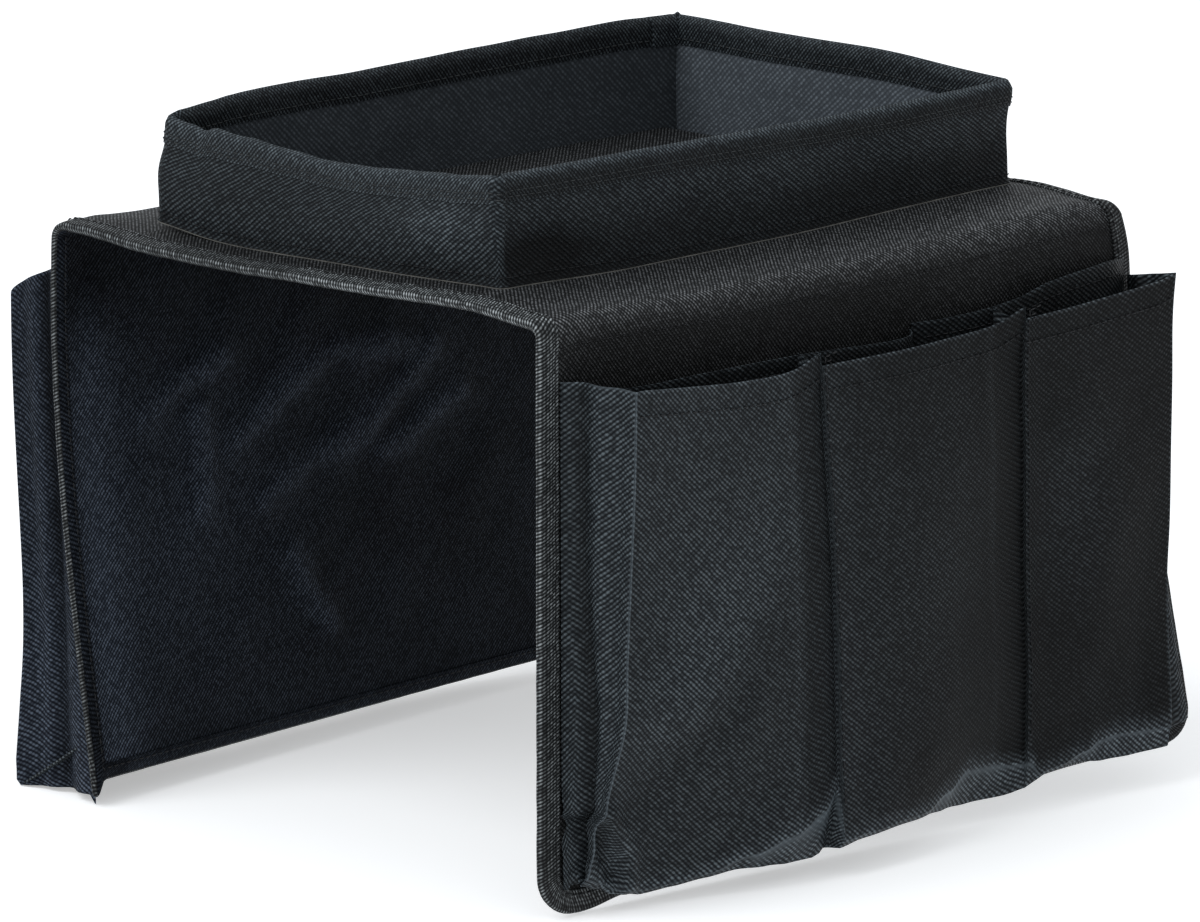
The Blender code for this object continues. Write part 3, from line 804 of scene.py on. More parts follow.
class MakeSideCovers(bpy.types.Operator):
    """Takes the cover from beside the tray, over each fold and down the flap's outside"""

    bl_idname = "organizer.side_covers"
    bl_label = "Side covers"

    def execute(self, context):
        for flap in FLAPS:
            start = 0.0900 - CREASE_X
            rows, wear_and_painted_light = [], []
            levels = (steps(0, 0.14, 16)[:-1] + steps(0.14, 0.19, 14)[:-1] + steps(0.19, 1, 66))
            for share in levels:
                row, wear_and_light_row = [], []
                for along in steps(0.001, LENGTH - 0.001, 128):
                    lowest = flap_lowest(flap, along, 0.001)
                    run = start + (lowest - start) * share
                    row.append(flap.saddle(along, run, COVER_MIDDLE
                                           + cover_slack(flap, along, run)))
                    # Painted light on the strip beside the tray, a painted highlight along the fold
                    # and painted shade down the flap's outside.
                    wear_and_light_row.append(0.27 + 0.58 * hump(run, -0.006, 0.010)
                                - 0.80 * eased((run + 0.002) / 0.014))
                rows.append(row)
                wear_and_painted_light.append(wear_and_light_row)
            piece = sew_grid(f"{flap.side}_cover_cloth", rows, cloth("panel"), wear_and_painted_light,
                             thickness=context.scene.organizer_sizes.cloth_thickness)
            bend_at_fold(piece, flap)
            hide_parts(f"{flap.side}_flap_cover", f"{flap.side}_fold_crease")
        return {"FINISHED"}


def cover_slack(flap, along, run):
    """The small unevenness of the cover along the fold and on the strip beside the tray."""
    soft = ripple(along, run, 0.05, flap.seed) + 0.5 * ripple(along, run * 2, 0.018, 6.0)
    return 0.0004 * soft * (1 - eased((run - 0.012) / 0.02)) * eased((run + 0.030) / 0.01)


class MakeLinings(bpy.types.Operator):
    """Lines the underside of the top panel and the inside of each flap"""

    bl_idname = "organizer.linings"
    bl_label = "Linings"

    def execute(self, context):
        for flap in FLAPS:
            start = -CREASE_X
            rows, wear_and_painted_light = [], []
            for share in steps(0, 1, 172):
                row, wear_and_light_row = [], []
                for along in steps(0.001, LENGTH - 0.001, 140):
                    lowest = flap_lowest(flap, along, 0.001)
                    run = start + (lowest - start) * share
                    slack = lining_slack(flap, along, run)
                    row.append(flap.saddle(along, run, LINING_MIDDLE - slack))
                    near = LENGTH - along if flap.turn < 0 else along
                    # Painted highlights on the slack ridges, painted light near the open near end
                    # and in a patch below it, and painted shade up under the top panel, over a
                    # darker base.
                    wear_and_light_row.append(eased((slack - 0.0008) / 0.0018) * 0.62 - 0.30
                                + 0.80 * hump(near, 0.016, 0.013) * eased((run - 0.02) / 0.05)
                                - 0.20 * (1 - eased((run - 0.02) / 0.07))
                                + 0.40 * hump(near, 0.055, 0.070) * hump(run, 0.130, 0.085))
                rows.append(row)
                wear_and_painted_light.append(wear_and_light_row)
            piece = sew_grid(f"{flap.side}_lining_cloth", rows, cloth("lining"), wear_and_painted_light,
                             thickness=context.scene.organizer_sizes.cloth_thickness)
            bend_at_fold(piece, flap)
            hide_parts(f"{flap.side}_flap_lining", "top_lining")
        return {"FINISHED"}


def lining_slack(flap, along, drop):
    """How far the slack lining stands off its board, in soft slanting folds."""
    if drop <= 0.010:
        return 0.0
    hold = eased((drop - 0.010) / 0.02)
    hold *= eased((flap_lowest(flap, along, 0.010) - drop) / 0.018)
    hold *= eased((along - 0.010) / 0.012) * eased((LENGTH - 0.010 - along) / 0.012)
    near = LENGTH - along if flap.turn < 0 else along
    ridge = 0.0
    for points in LINING_RIDGES:
        closest = min(from_segment(near, drop, a, b) for a, b in zip(points, points[1:]))
        if closest < 0.03:
            closest += 0.0022 * ripple(near, drop, 0.014, 5.0)
            ridge = max(ridge, 0.6 * hump(closest, 0, 0.0060) + 0.4 * hump(closest, 0, 0.0130))
    soft = ripple(near + drop * 0.6, drop * 0.5, 0.03, flap.seed)
    fine = ripple(near - drop * 0.4, drop, 0.012, flap.seed + 1)
    return hold * (0.0004 + 0.0020 * ridge + 0.0010 * max(soft, -0.3) + 0.0003 * fine)


class MakeTapes(bpy.types.Operator):
    """Folds the binding tape round every free edge of the saddle and stitches it down"""

    bl_idname = "organizer.tapes"
    bl_label = "Binding tapes"

    def execute(self, context):
        thick = context.scene.organizer_sizes.tape_thickness * 0.85
        low, high = -0.0004, 0.0029
        # The tape's section, row by row: inset, height and lightness; the rounded edge gets a
        # painted highlight, with a darker line just inside it on the outer leg.
        section = ((0.0062, low, 0.0), (0.0054, low, 0.1), (0.0036, low - 0.0001, 0.1),
                   (0.0022, low, 0.2), (0.0009, low + 0.0003, 0.0), (0.0003, low + 0.0010, 0.25),
                   (0.0, 0.00125, 0.30), (0.0003, high - 0.0010, 0.30),
                   (0.0009, high - 0.0003, -0.1), (0.0022, high, -0.35),
                   (0.0036, high + 0.0001, -0.05), (0.0060, high + 0.0001, 0.05),
                   (TAPE_LEG - 0.0008, high, 0.0), (TAPE_LEG, high, 0.2))
        for flap in FLAPS:
            rows, wear_and_painted_light = [], []
            for inset, out, wear_and_light_step in section:
                path = edge_path(flap, inset)
                rows.append([flap.saddle(along, run, out + tape_wobble(flap, along, run, out))
                             for along, run in path])
                # Painted light on the tape over the top panel's outer face; the tape is darker
                # lower down the flap and from along 0.295 to the end.
                wear_and_painted_light.append([wear_and_light_step - 0.35 * eased((along - 0.295) / 0.01)
                             - 0.22 * eased((run - 0.11) / 0.10)
                             + 0.40 * (run < 0) * (out > 0.0015) for along, run in path])
            piece = sew_grid(f"{flap.side}_edge_tape", rows, cloth("tape"), wear_and_painted_light,
                             thickness=thick, second=(cloth("lining"), 4))
            bend_at_fold(piece, flap)
            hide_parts(f"{flap.side}_flap_binding", "top_front_binding",
                        "top_rear_binding")
            path, turned = edge_path(flap, 0.0071), edge_path(flap, 0.0047)
            fold = [(along, 0.0095) for along in steps(0.010, LENGTH - 0.010, 110)]

            def outside(along, run, height, flap=flap):
                return flap.saddle(along, run, high + thick / 2 + height)

            def inside(along, run, height, flap=flap):
                return flap.saddle(along, run, low - thick / 2 - height)

            def on_cover(along, run, height, flap=flap):
                return flap.saddle(along, run, COVER_OUT + height
                                   + cover_slack(flap, along, run))

            stitches = (stitch_line(outside, path) + stitch_line(inside, turned)
                        + stitch_line(on_cover, fold))
            sewn = sew_stitches(f"{flap.side}_edge_stitching", stitches, None)
            bend_at_fold(sewn, flap)
        return {"FINISHED"}


def tape_wobble(flap, along, run, out):
    """The sewn tape's small unevenness."""
    return 0.0003 * ripple(along * 3 + run * 3, out * 30, 0.03, flap.seed)


class MakeBoards(bpy.types.Operator):
    """Puts the stiffener boards inside the top panel, the flaps and the tray's walls"""

    bl_idname = "organizer.boards"
    bl_label = "Stiffener boards"

    def execute(self, context):
        rows = [[Vector((x, y, BOARD_MIDDLE - panel_sag(x, y)))
                 for x in steps(-CREASE_X + 0.0072, CREASE_X - 0.0072, 60)]
                for y in steps(-LENGTH / 2 + 0.0012, LENGTH / 2 - 0.0012, 60)]
        piece = sew_grid("top_panel_board", rows, cloth("board"), thickness=0.0008)
        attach(piece, "top")
        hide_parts("top_board")
        for flap in FLAPS:
            rows = [[flap.saddle(along, 0.0070 + (flap_lowest(flap, along, 0.0012) - 0.0070)
                                 * share, BOARD_MIDDLE)
                     for along in steps(0.0012, LENGTH - 0.0012, 60)]
                    for share in steps(0, 1, 40)]
            piece = sew_grid(f"{flap.side}_flap_stiffener", rows, cloth("board"),
                             thickness=0.0008)
            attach(piece, flap.body)
            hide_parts(f"{flap.side}_flap_board")
        around = tray_round()
        rows = [[tray_point(spot, 0.5, level) for spot in around]
                for level in steps(0.02, 0.93, 10)]
        piece = sew_grid("tray_wall_board", rows, cloth("board"), around=True, thickness=0.0014)
        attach(piece, "top")
        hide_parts("tray_front_stiffener", "tray_rear_stiffener", "tray_left_stiffener",
                    "tray_right_stiffener")
        return {"FINISHED"}


# ---------------------------------------------------------------- tray


def tray_round():
    """Places round the tray's walls: a corner's centre or wall's foot, and which way is out."""
    radius = 0.0030
    places = []
    w, l = TRAY_HALF_WIDTH - radius, TRAY_HALF_LENGTH - radius
    sides = (((-w, -l), (w, -l), (0, -1)), ((w, -l), (w, l), (1, 0)),
             ((w, l), (-w, l), (0, 1)), ((-w, l), (-w, -l), (-1, 0)))
    for (x0, y0), (x1, y1), (nx, ny) in sides:
        count = round(hypot(x1 - x0, y1 - y0) / 0.0023)
        for t in steps(0, 1, count):
            places.append((x0 + (x1 - x0) * t, y0 + (y1 - y0) * t, nx, ny, radius))
        for a in (radians(22.5), radians(45), radians(67.5)):
            places.append((x1, y1, nx * cos(a) - ny * sin(a), ny * cos(a) + nx * sin(a), radius))
    return places


def tray_point(spot, inward, level, swell=0.0):
    """A point on the tray's wall: inward is 0 on its outer face and 1 on its inner face."""
    x, y, nx, ny, radius = spot
    front, right = max(-ny, 0), max(nx, 0)
    rear, left = max(ny, 0), max(-nx, 0)
    at_x, at_y = x / TRAY_HALF_WIDTH, y / TRAY_HALF_LENGTH
    height = min(max(level, 0), 1)
    body = sin(pi * height)
    slack = 0.0009 * ripple(x + y * 1.3, height * 0.05, 0.045, 4.0)
    slack += 0.0005 * ripple(x - y, height * 0.042 + x * 0.3, 0.014, 9.0)
    slack += front * (0.0030 * hump(at_x, 0.62, 0.26) * hump(height, 0.50, 0.26)
                      - 0.0022 * hump(at_x, 0.90, 0.09) * hump(height, 0.10, 0.22)
                      - 0.0012 * hump(at_x, -0.2, 0.5))
    slack += right * (-0.0010 * hump(height, 0.30, 0.32) * (1 - at_y**6)
                      - 0.0014 * hump(at_y, -0.86, 0.12) * hump(height, 0.25, 0.22)
                      + 0.0005 * sin(9 * at_y + height * 3.0))
    slack -= rear * 0.0010
    lean = -0.0030 * front * height + 0.0016 * right * height * (1 - eased((at_y + 1) / 1.4))
    out = radius - inward * TRAY_WALL + slack * (0.25 + 0.75 * body) + swell - lean
    place = Vector((x + nx * out, y + ny * out, 0))
    rim = eased((level - 0.3) / 0.7)
    corner = (1 - at_x) / 2 * hump(at_y, -1.0, 0.30) * rim
    far_left = hump(at_x, -1.0, 0.5) * hump(at_y, 1.0, 0.45)
    far_right = eased((at_x + 0.2) / 1.2) * eased((at_y - 0.4) / 0.6)
    place.x += 0.0068 * corner + 0.0042 * far_left + 0.0006 * far_right
    place.y += 0.0010 * corner + 0.0042 * far_left + (0.0022 + 0.0014 * rim) * far_right
    dip = front * read_eased(at_x, DIP_PLACES, FRONT_DIPS)
    dip += right * read_eased(at_y, DIP_PLACES, RIGHT_DIPS)
    dip += left * read_eased(at_y, DIP_PLACES, LEFT_DIPS)
    dip += rear * (0.0041 * eased((at_x - 0.2) / 0.8) - 0.0020)
    dip += 0.0003 * ripple(x, y, 0.03, 7.0) + 0.0004 * front * ripple(x, 0.0, 0.012, 2.0)
    place.z = TRAY_BASE + level * TRAY_HEIGHT - dip * rim
    place.z -= panel_sag(place.x, place.y) * (1 - rim)
    place.z += 0.0026 * hump(at_x, -1.0, 0.25) * hump(at_y, -1.0, 0.25) * (1 - rim)
    return place


class MakeTray(bpy.types.Operator):
    """Raises the tray's soft walls, binds their rim and lays the floor"""

    bl_idname = "organizer.tray"
    bl_label = "Tray"

    def execute(self, context):
        sizes = context.scene.organizer_sizes
        around = tray_round()
        profile = [(1.0, level) for level in steps(0.02, 0.95, 16)]
        profile += [(0.90, 0.985), (0.5, 1.0), (0.10, 0.985)]
        profile += [(0.0, level) for level in steps(0.95, 0.05, 22)]
        profile += [(-0.10, 0.02), (-0.26, 0.004)]
        rows, wear_and_painted_light = [], []
        for inward, level in profile:
            rows.append([tray_point(spot, inward, level) for spot in around])
            wear_and_painted_light.append([tray_wear_and_painted_light(spot, inward, level) for spot in around])
        piece = sew_grid("tray_wall_cloth", rows, cloth("pocket"), wear_and_painted_light, around=True,
                         thickness=sizes.cloth_thickness * 0.6, smooth=1.2,
                         second=(cloth("inside"), 17))
        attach(piece, "top")
        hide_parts("tray_front_wall", "tray_rear_wall", "tray_left_wall",
                    "tray_right_wall")
        self.bind_rim(context, around)
        self.lay_floor(context)
        self.sew_base(context, around)
        return {"FINISHED"}

    def bind_rim(self, context, around):
        """The tape folded over the rim, its stitching, and the joint where its ends overlap."""
        low = 1 - 0.0090 / TRAY_HEIGHT
        # Rows of the rim tape: inward, level and lightness, with a painted highlight along the
        # rim's top.
        profile = ((1.13, low, 0.1), (1.16, low + 0.03, -0.1), (1.16, 0.93, -0.1),
                   (1.12, 0.985, 0.1), (0.85, 1.03, 0.3), (0.5, 1.045, 0.6),
                   (0.15, 1.03, 0.7), (-0.12, 0.985, 0.25), (-0.16, 0.93, 0.0),
                   (-0.16, low + 0.03, 0.0), (-0.13, low, 0.3))
        tape = context.scene.organizer_sizes.tape_thickness
        rows = [[tray_point(spot, inward, level) for spot in around]
                for inward, level, _ in profile]
        # Painted light by facing: lighter on the front and rear runs, painted shade on the right
        # run below its top and on the left run, and a lighter top on the right run.
        wear_and_painted_light = [[wear_and_light_step + 0.15 * abs(spot[3]) - (0.45 if wear_and_light_step < 0.5 else -0.2) * max(spot[2], 0)
                 - 0.2 * max(-spot[2], 0) for spot in around] for _, _, wear_and_light_step in profile]
        piece = sew_grid("tray_rim_tape", rows, cloth("rim"), wear_and_painted_light, around=True,
                         thickness=tape * 0.8, smooth=1.2)
        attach(piece, "top")
        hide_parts("tray_rim_binding")
        first = next(i for i, s in enumerate(around) if s[2] == -1)
        joint = around[first + 1:first + 8]
        rows = [[tray_point(spot, inward + (OVERLAP_LIFT if inward > 0.5 else -OVERLAP_LIFT), level)
                 for spot in joint] for inward, level, _ in profile]
        wear_and_painted_light = [[0.6] + [0.1] * (len(joint) - 2) + [0.6]] * len(profile)
        piece = sew_grid("tray_rim_tape_joint", rows, cloth("rim"), wear_and_painted_light,
                         thickness=tape * 0.8, smooth=1.2)
        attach(piece, "top")
        ring = [(i, 0) for i in range(len(around))] + [(0, 0)]

        def rim(inward, level):
            def surface(i, _, height):
                grow = height / TRAY_WALL
                return tray_point(around[i], inward + (grow if inward > 0.5 else -grow), level)
            return surface

        stitches = []
        for inward, level in ((-0.23, low + 0.05), (-0.23, 0.90), (1.23, low + 0.05)):
            stitches += stitch_line(rim(inward, level), ring, 0.0)
        sew_stitches("tray_rim_stitching", stitches, "top", thread="rim thread")

    def lay_floor(self, context):
        """The cover of the board that lies in the tray, as one thin sheet with crisp edges."""
        floor_x = TRAY_HALF_WIDTH - TRAY_WALL - 0.0016
        floor_y = TRAY_HALF_LENGTH - TRAY_WALL - 0.0020
        rows = []
        xs = [-floor_x, -floor_x + 0.0006] + steps(-floor_x + 0.003, floor_x - 0.003, 70)
        xs += [floor_x - 0.0006, floor_x]
        ys = [-floor_y, -floor_y + 0.0006] + steps(-floor_y + 0.003, floor_y - 0.003, 104)
        ys += [floor_y - 0.0006, floor_y]
        for y in ys:
            row = []
            for x in xs:
                edge = min(floor_x - abs(x), floor_y - abs(y))
                level = 0.0042 + 0.0014 * eased(edge / 0.0010) + 0.0003 * ripple(x, y, 0.05, 8)
                row.append(Vector((x, y, level)))
            rows.append(row)
        piece = sew_grid("tray_floor_cloth", rows, cloth("panel"),
                         thickness=context.scene.organizer_sizes.cloth_thickness * 0.7)
        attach(piece, "top")
        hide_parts("tray_floor_cover", "tray_floor_board")

    def sew_base(self, context, around):
        """The turned-out edge and the stitches that hold the walls to the cover."""
        rows, wear_and_painted_light = [], []
        # The last value of each row is a painted highlight along the edge's crown; the plain piping
        # material does not read it.
        for swell, rise, wear_and_light_step in ((0.0002, 0.0006, 0.3), (0.0005, 0.0007, 0.9),
                                 (0.0008, 0.0005, 0.7), (0.0009, 0.0001, 0.0)):
            row = []
            for spot in around:
                foot = tray_point(spot, 0.0, 0.0, swell)
                row.append(foot + Vector((0, 0, rise - 0.0004)))
            rows.append(row)
            wear_and_painted_light.append([wear_and_light_step] * len(around))
        piece = sew_grid("tray_base_edge", rows, cloth("piping"), wear_and_painted_light, around=True,
                         thickness=0.0003, smooth=1.2)
        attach(piece, "top")
        ring = [(i, 0) for i in range(len(around))] + [(0, 0)]

        def above_base(i, _, height):
            return tray_point(around[i], -height / TRAY_WALL, 0.085)

        stitches = stitch_line(above_base, ring, 0.0004)
        sew_stitches("tray_base_stitching", stitches, "top")


def tray_wear_and_painted_light(spot, inward, level):
    """The tray cloth's painted light and shade: painted highlights on its outer corners and on the
    front wall's swell, painted shade low on the front wall, over the right wall with a dark wedge
    near its near corner, and at the foot of every outer wall; inside, painted light on the rear
    wall and painted shade on the left.
    """
    x, y, nx, ny, _ = spot
    front, right, rear, left = max(-ny, 0), max(nx, 0), max(ny, 0), max(-nx, 0)
    at_x, at_y = x / TRAY_HALF_WIDTH, y / TRAY_HALF_LENGTH
    # Inside: painted light on the rear wall, painted shade on the left wall.
    if inward > 0.5:
        return 0.12 * rear - 0.38 * left
    # Outside: painted highlights and painted shade as the light falls on each wall.
    wear_and_light_step = front * (0.55 * hump(at_x, 0.68, 0.24) * hump(level, 0.50, 0.28)
                   - 0.30 * hump(at_x, 0.60, 0.30) * hump(level, 0.08, 0.12))
    wear_and_light_step -= right * (0.40 * hump(level, 0.22, 0.25) + 0.12
                    + 0.30 * hump(at_y, -0.85, 0.15) * hump(level, 0.25, 0.18))
    return wear_and_light_step + 0.35 * abs(nx * ny) * 2 - 0.3 * hump(level, 0.0, 0.06)


# ---------------------------------------------------------------- bags


def bag_stations():
    """(along, inward offset, lightness) across the bag's front, with a folded pleat at each seam;
    the lightness paints highlights on the bag's near and far edges and on each seam's riser, and
    painted shade in the pleat beside each seam.
    """
    found = [(POCKET_START + a, 0.0, wear_and_light_step) for a, wear_and_light_step in
             ((0.0, 2.4), (0.0004, 0.9), (0.0008, -0.1), (0.0018, 0.0))]
    for low, high in zip(UPRIGHTS, UPRIGHTS[1:]):
        first = low + (0.0028 if low == POCKET_START else PLEAT[-1][0])
        last = high - 0.0028 if high == POCKET_END else high + PLEAT[0][0]
        if low == POCKET_START:
            found += [(a, 0.0, 0.0) for a in steps(first, 0.046, 22)[:-1]]
            first = 0.046
        found += [(a, 0.0, 0.0) for a in steps(first, last, round((last - first) / 0.0024))]
        if high != POCKET_END:
            for da, dout in PLEAT[1:-1]:
                # Painted shade in the pleat, darkest just before the seam, a lighter band where it
                # begins and a painted highlight on the seam's riser.
                wear_and_light_step = -0.18 if -0.015 < da < -0.0015 else 0.0
                wear_and_light_step = 0.14 if -0.0200 < da < -0.0170 else wear_and_light_step
                wear_and_light_step = 0.25 if -0.0004 < da < 0.0012 else wear_and_light_step
                wear_and_light_step = -0.26 if -0.0012 < da < -0.0004 else wear_and_light_step
                found.append((high + da, dout, wear_and_light_step))
    return found + [(POCKET_END - a, 0.0, wear_and_light_step) for a, wear_and_light_step in
                    ((0.0018, 0.0), (0.0010, 0.1), (0.0004, 0.6), (0.0, 0.7))]


def bag_lift(flap, along):
    """How far the bag's lower crease stands above its bottom."""
    if flap.turn > 0:
        return read_eased(along, LIFT_PLACES, LIFTS)
    end = eased((along - 0.270) / 0.040)
    return 0.002 + 0.004 * (1 + ripple(along, 0.0, 0.04, flap.seed)) * (1 - end)


def bag_floor(flap, along):
    """The drop to the bag's lowest crease."""
    if flap.turn > 0:
        return flap.bag_bottom - read_eased(along, RAISE_PLACES, RAISES)
    return flap.bag_bottom - 0.0030 * eased((0.290 - along) / 0.05)


def crumple(flap, point, along, drop):
    """Pushes a point about in the crushed corner where the bag's side meets its bottom."""
    if abs(along - POCKET_START) > 0.05 or drop < 0.150:
        return point
    valley = hump(from_segment(along, drop, (0.0146, 0.187), (0.0280, 0.211)), 0, 0.0034)
    ridge = min(from_segment(along, drop, (0.0180, 0.183), (0.0325, 0.201)),
                from_segment(along, drop, (0.0325, 0.201), (0.0345, 0.215)))
    mask = hump(along, POCKET_START, 0.022) * hump(drop, 0.205, 0.018)
    fine = 1 - 2.2 * abs(noise.noise(point * 130 + Vector((flap.seed, 0, 0))))
    push = 0.0036 * hump(ridge, 0, 0.0040) - 0.0040 * valley + 0.0010 * mask * fine
    return point + Vector((flap.turn * push, flap.turn * -0.3 * push, 0))


def bag_wrinkles(flap, along, share):
    """The slack front's shallow wrinkles and the soft slanting fold in the first pocket."""
    depth = bpy.context.scene.organizer_sizes.wrinkle_depth
    hold = eased((along - POCKET_START) / 0.02) * eased((POCKET_END - along) / 0.02)
    soft = ripple(along, share * 0.19, 0.045, flap.seed)
    low = ripple(along + share * 0.05, share * 0.19 - along * 0.4, 0.018, flap.seed + 2)
    fold = hump(from_segment(along, share * 0.19, (0.066, 0.122), (0.024, 0.160)), 0, 0.011)
    return hold * depth * (soft + low * 0.6 * eased((share - 0.55) / 0.4) - 1.5 * fold)


def front_out(flap, along, drop, dent, share):
    """How far out the bag's front lies at a place on it."""
    out = BAG_OUT + flap.bag_depth(along, drop)
    out += dent * (0.45 + 0.55 * eased(share / 0.12))
    return out + bag_wrinkles(flap, along, share)


FRONT_SHARES = [0.0, 0.0030, 0.0075] + steps(0.016, 0.80, 60) + steps(0.81, 1.0, 22)


def bag_profile(flap, along, dent):
    """(drop, out, share, part) down the bag: its front, turned-in facet and underside."""
    mouth = flap.bag_mouth(along)
    lift = bag_lift(flap, along)
    bottom = bag_floor(flap, along)
    crease = bottom - lift
    for share in FRONT_SHARES:
        drop = mouth + (crease - mouth) * share
        yield drop, front_out(flap, along, drop, dent, share), share, "front"
    front = front_out(flap, along, crease, dent, 1.0)
    low = max(front - 0.0095 * (1 - exp(-lift / 0.0080)), min(COVER_OUT + 0.0035, front))
    for turn in steps(0, 1, 7)[1:]:
        yield crease + lift * turn, front + (low - front) * turn, turn, "facet"
    seat = COVER_OUT + 0.0014
    for turn in steps(0, 1, 8)[1:]:
        yield bottom + (SEAT_DROP - bottom) * turn, low + (seat - low) * turn, turn, "under"


def set_back(flap, along, drop):
    """Where along the bag's front really lies: its far edge draws back from the flap's end."""
    if flap.turn < 0:
        return along
    share = eased((along - SECOND_SEAM) / (POCKET_END - SECOND_SEAM)) ** 1.5
    return along - read_curve((drop - 0.03) / (POCKET_BOTTOM - 0.03), HEIGHTS, END_INSETS) * share


def end_raise(flap, along, drop, across):
    """How far the right bag's far bottom end rises to follow the flap's rounded corner."""
    if flap.turn < 0 or along < 0.300:
        return 0.0
    over = drop - flap_lowest(flap, POCKET_END, 0.0015)
    return max(over, 0) * sqrt(max(1 - across, 0)) * eased((along - 0.300) / 0.016)


def bag_front_rows(flap):
    """Rows of the bag's front: mouth to lower crease, turned-in facet, and back underneath."""
    columns = []
    for along, dent, wear_and_light_step in bag_stations():
        crease = bag_floor(flap, along) - bag_lift(flap, along)
        mouth = flap.bag_mouth(along)
        column = []
        for drop, out, share, part in bag_profile(flap, along, dent):
            across = (out - COVER_OUT) / 0.006 if part == "under" else 1.0
            point = flap.place(set_back(flap, along, drop),
                               drop - end_raise(flap, along, drop, across), out)
            if part == "front":
                # Painted highlights along the mouth and the lower crease, and the front's broad
                # painted light.
                light = wear_and_light_step + 1.0 * hump(share, 0.0, 0.004)
                light += 0.8 * hump((1 - share) * (crease - mouth), 0.0, 0.0040)
                light += front_light(flap, along, drop)
            elif part == "facet":
                # Painted light from below on the right bag's turned-in facets, strongest near the
                # crease and on steep lifts; painted shade on the left bag's.
                slope = (bag_lift(flap, along + 0.002) - bag_lift(flap, along - 0.002)) / 0.004
                light = (1.2 if flap.turn > 0 else -0.3) * (1.0 - 0.45 * share)
                light *= (0.60 + 0.40 * eased(slope / 0.3)) * (1 + 1.3 * hump(share, 0.05, 0.16))
                light *= 1 + 0.5 * ripple(along, drop * 0.5, 0.011, 8.0)
            else:
                light = 0.3
            column.append((crumple(flap, point, along, drop), light))
        columns.append(column)
    rows = [[column[i][0] for column in columns] for i in range(len(columns[0]))]
    wear_and_painted_light = [[column[i][1] for column in columns] for i in range(len(columns[0]))]
    return rows, wear_and_painted_light


def front_light(flap, along, drop):
    """The front's broad painted light and shade: lighter on its bellies, painted shade growing
    towards the far end, a painted highlight on the crushed near corner with painted shade in its
    valley, painted light and shade either side of the first pocket's slanting fold, painted shade
    near each pocket's end, and the left bag in painted shade that lessens lower down.
    """
    t = flap.between(along)
    # Painted shade that grows away from the near end, as the light falls off.
    far_shade = read_eased(along, (0.03, 0.09, 0.17, 0.28), (0.0, -0.10, -0.60, -0.66))
    belly = 0.20 * hump(t, 0.32, 0.26) * hump(drop, 0.110, 0.060)
    # A painted highlight on the crushed near corner and painted shade in its valley.
    knuckle = 0.55 * hump(along, 0.0270, 0.0060) * hump(drop, 0.2010, 0.0090)
    knuckle -= 0.4 * hump(from_segment(along, drop, (0.0160, 0.190), (0.0270, 0.212)), 0, 0.0022)
    # Painted light and shade either side of the first pocket's slanting fold.
    fold = 0.22 * hump(from_segment(along, drop, (0.090, 0.085), (0.036, 0.150)), 0, 0.016)
    fold -= 0.20 * hump(from_segment(along, drop, (0.088, 0.128), (0.030, 0.178)), 0, 0.012)
    # Painted shade on the left bag, less lower down.
    left = -0.62 + 0.25 * eased((drop - 0.12) / 0.08) if flap.turn < 0 else 0.0
    return far_shade * (flap.turn > 0) + left + belly + knuckle + fold - 0.10 * hump(t, 0.88, 0.10)


def gusset_rows(flap, at_start):
    """Rows of an end gusset, folded a little inward down its middle."""
    along = POCKET_START if at_start else POCKET_END
    inward = 1 if at_start else -1
    base = COVER_OUT + (0.0004 if at_start else 0.0012)
    rows, wear_and_painted_light = [], []
    for drop, front, share, part in bag_profile(flap, along, 0.0):
        if part == "under":
            continue
        down = share if part == "front" else 1.0
        back = along - set_back(flap, along, drop)
        middle = 0.24 + 0.20 * eased((down - 0.3) / 0.6)
        row, wear_and_light_row = [], []
        for across in steps(0, 0.95, 16) + [0.985, 1.0]:
            valley = 0.0046 * (0.5 + 0.8 * down) * (hump(across, middle, 0.15)
                                                    + 0.5 * hump(across, 0.74, 0.14))
            valley *= eased(across / 0.06) * eased((1 - across) / 0.1)
            flare = 0.0042 * (1 - across) ** 2 if at_start else 0.0
            peak = 0.0112 * (1 - across) ** 0.6 * (1 - down) ** 3 if flap.turn < 0 else 0.0
            if not at_start:
                peak += end_raise(flap, along, drop, across)
            point = flap.place(along + inward * valley - back * across - flare, drop - peak,
                               base + (front - base) * across)
            row.append(crumple(flap, point, along, drop))
            # Painted shade in the gusset's middle valley with painted light beside it, lighter
            # lower down on the left bag's gussets, painted highlights along the mouth and the
            # folded edge at the front, and painted shade on the right bag's far gusset.
            light = (0.30 if flap.turn > 0 else 0.05) + 0.25 * hump(across, middle + 0.2, 0.14)
            light -= 0.62 * hump(across, middle, 0.14)
            light += 0.45 * eased((drop - 0.12) / 0.08) * (flap.turn < 0)
            light += 1.0 * hump(drop, flap.bag_mouth(along), 0.0008)
            light += (1.1 if flap.turn > 0 else 0.5) * hump(across, 1.0, 0.012)
            wear_and_light_row.append(light if at_start or flap.turn < 0 else light - 0.3)
        rows.append(row)
        wear_and_painted_light.append(wear_and_light_row)
    return rows, wear_and_painted_light


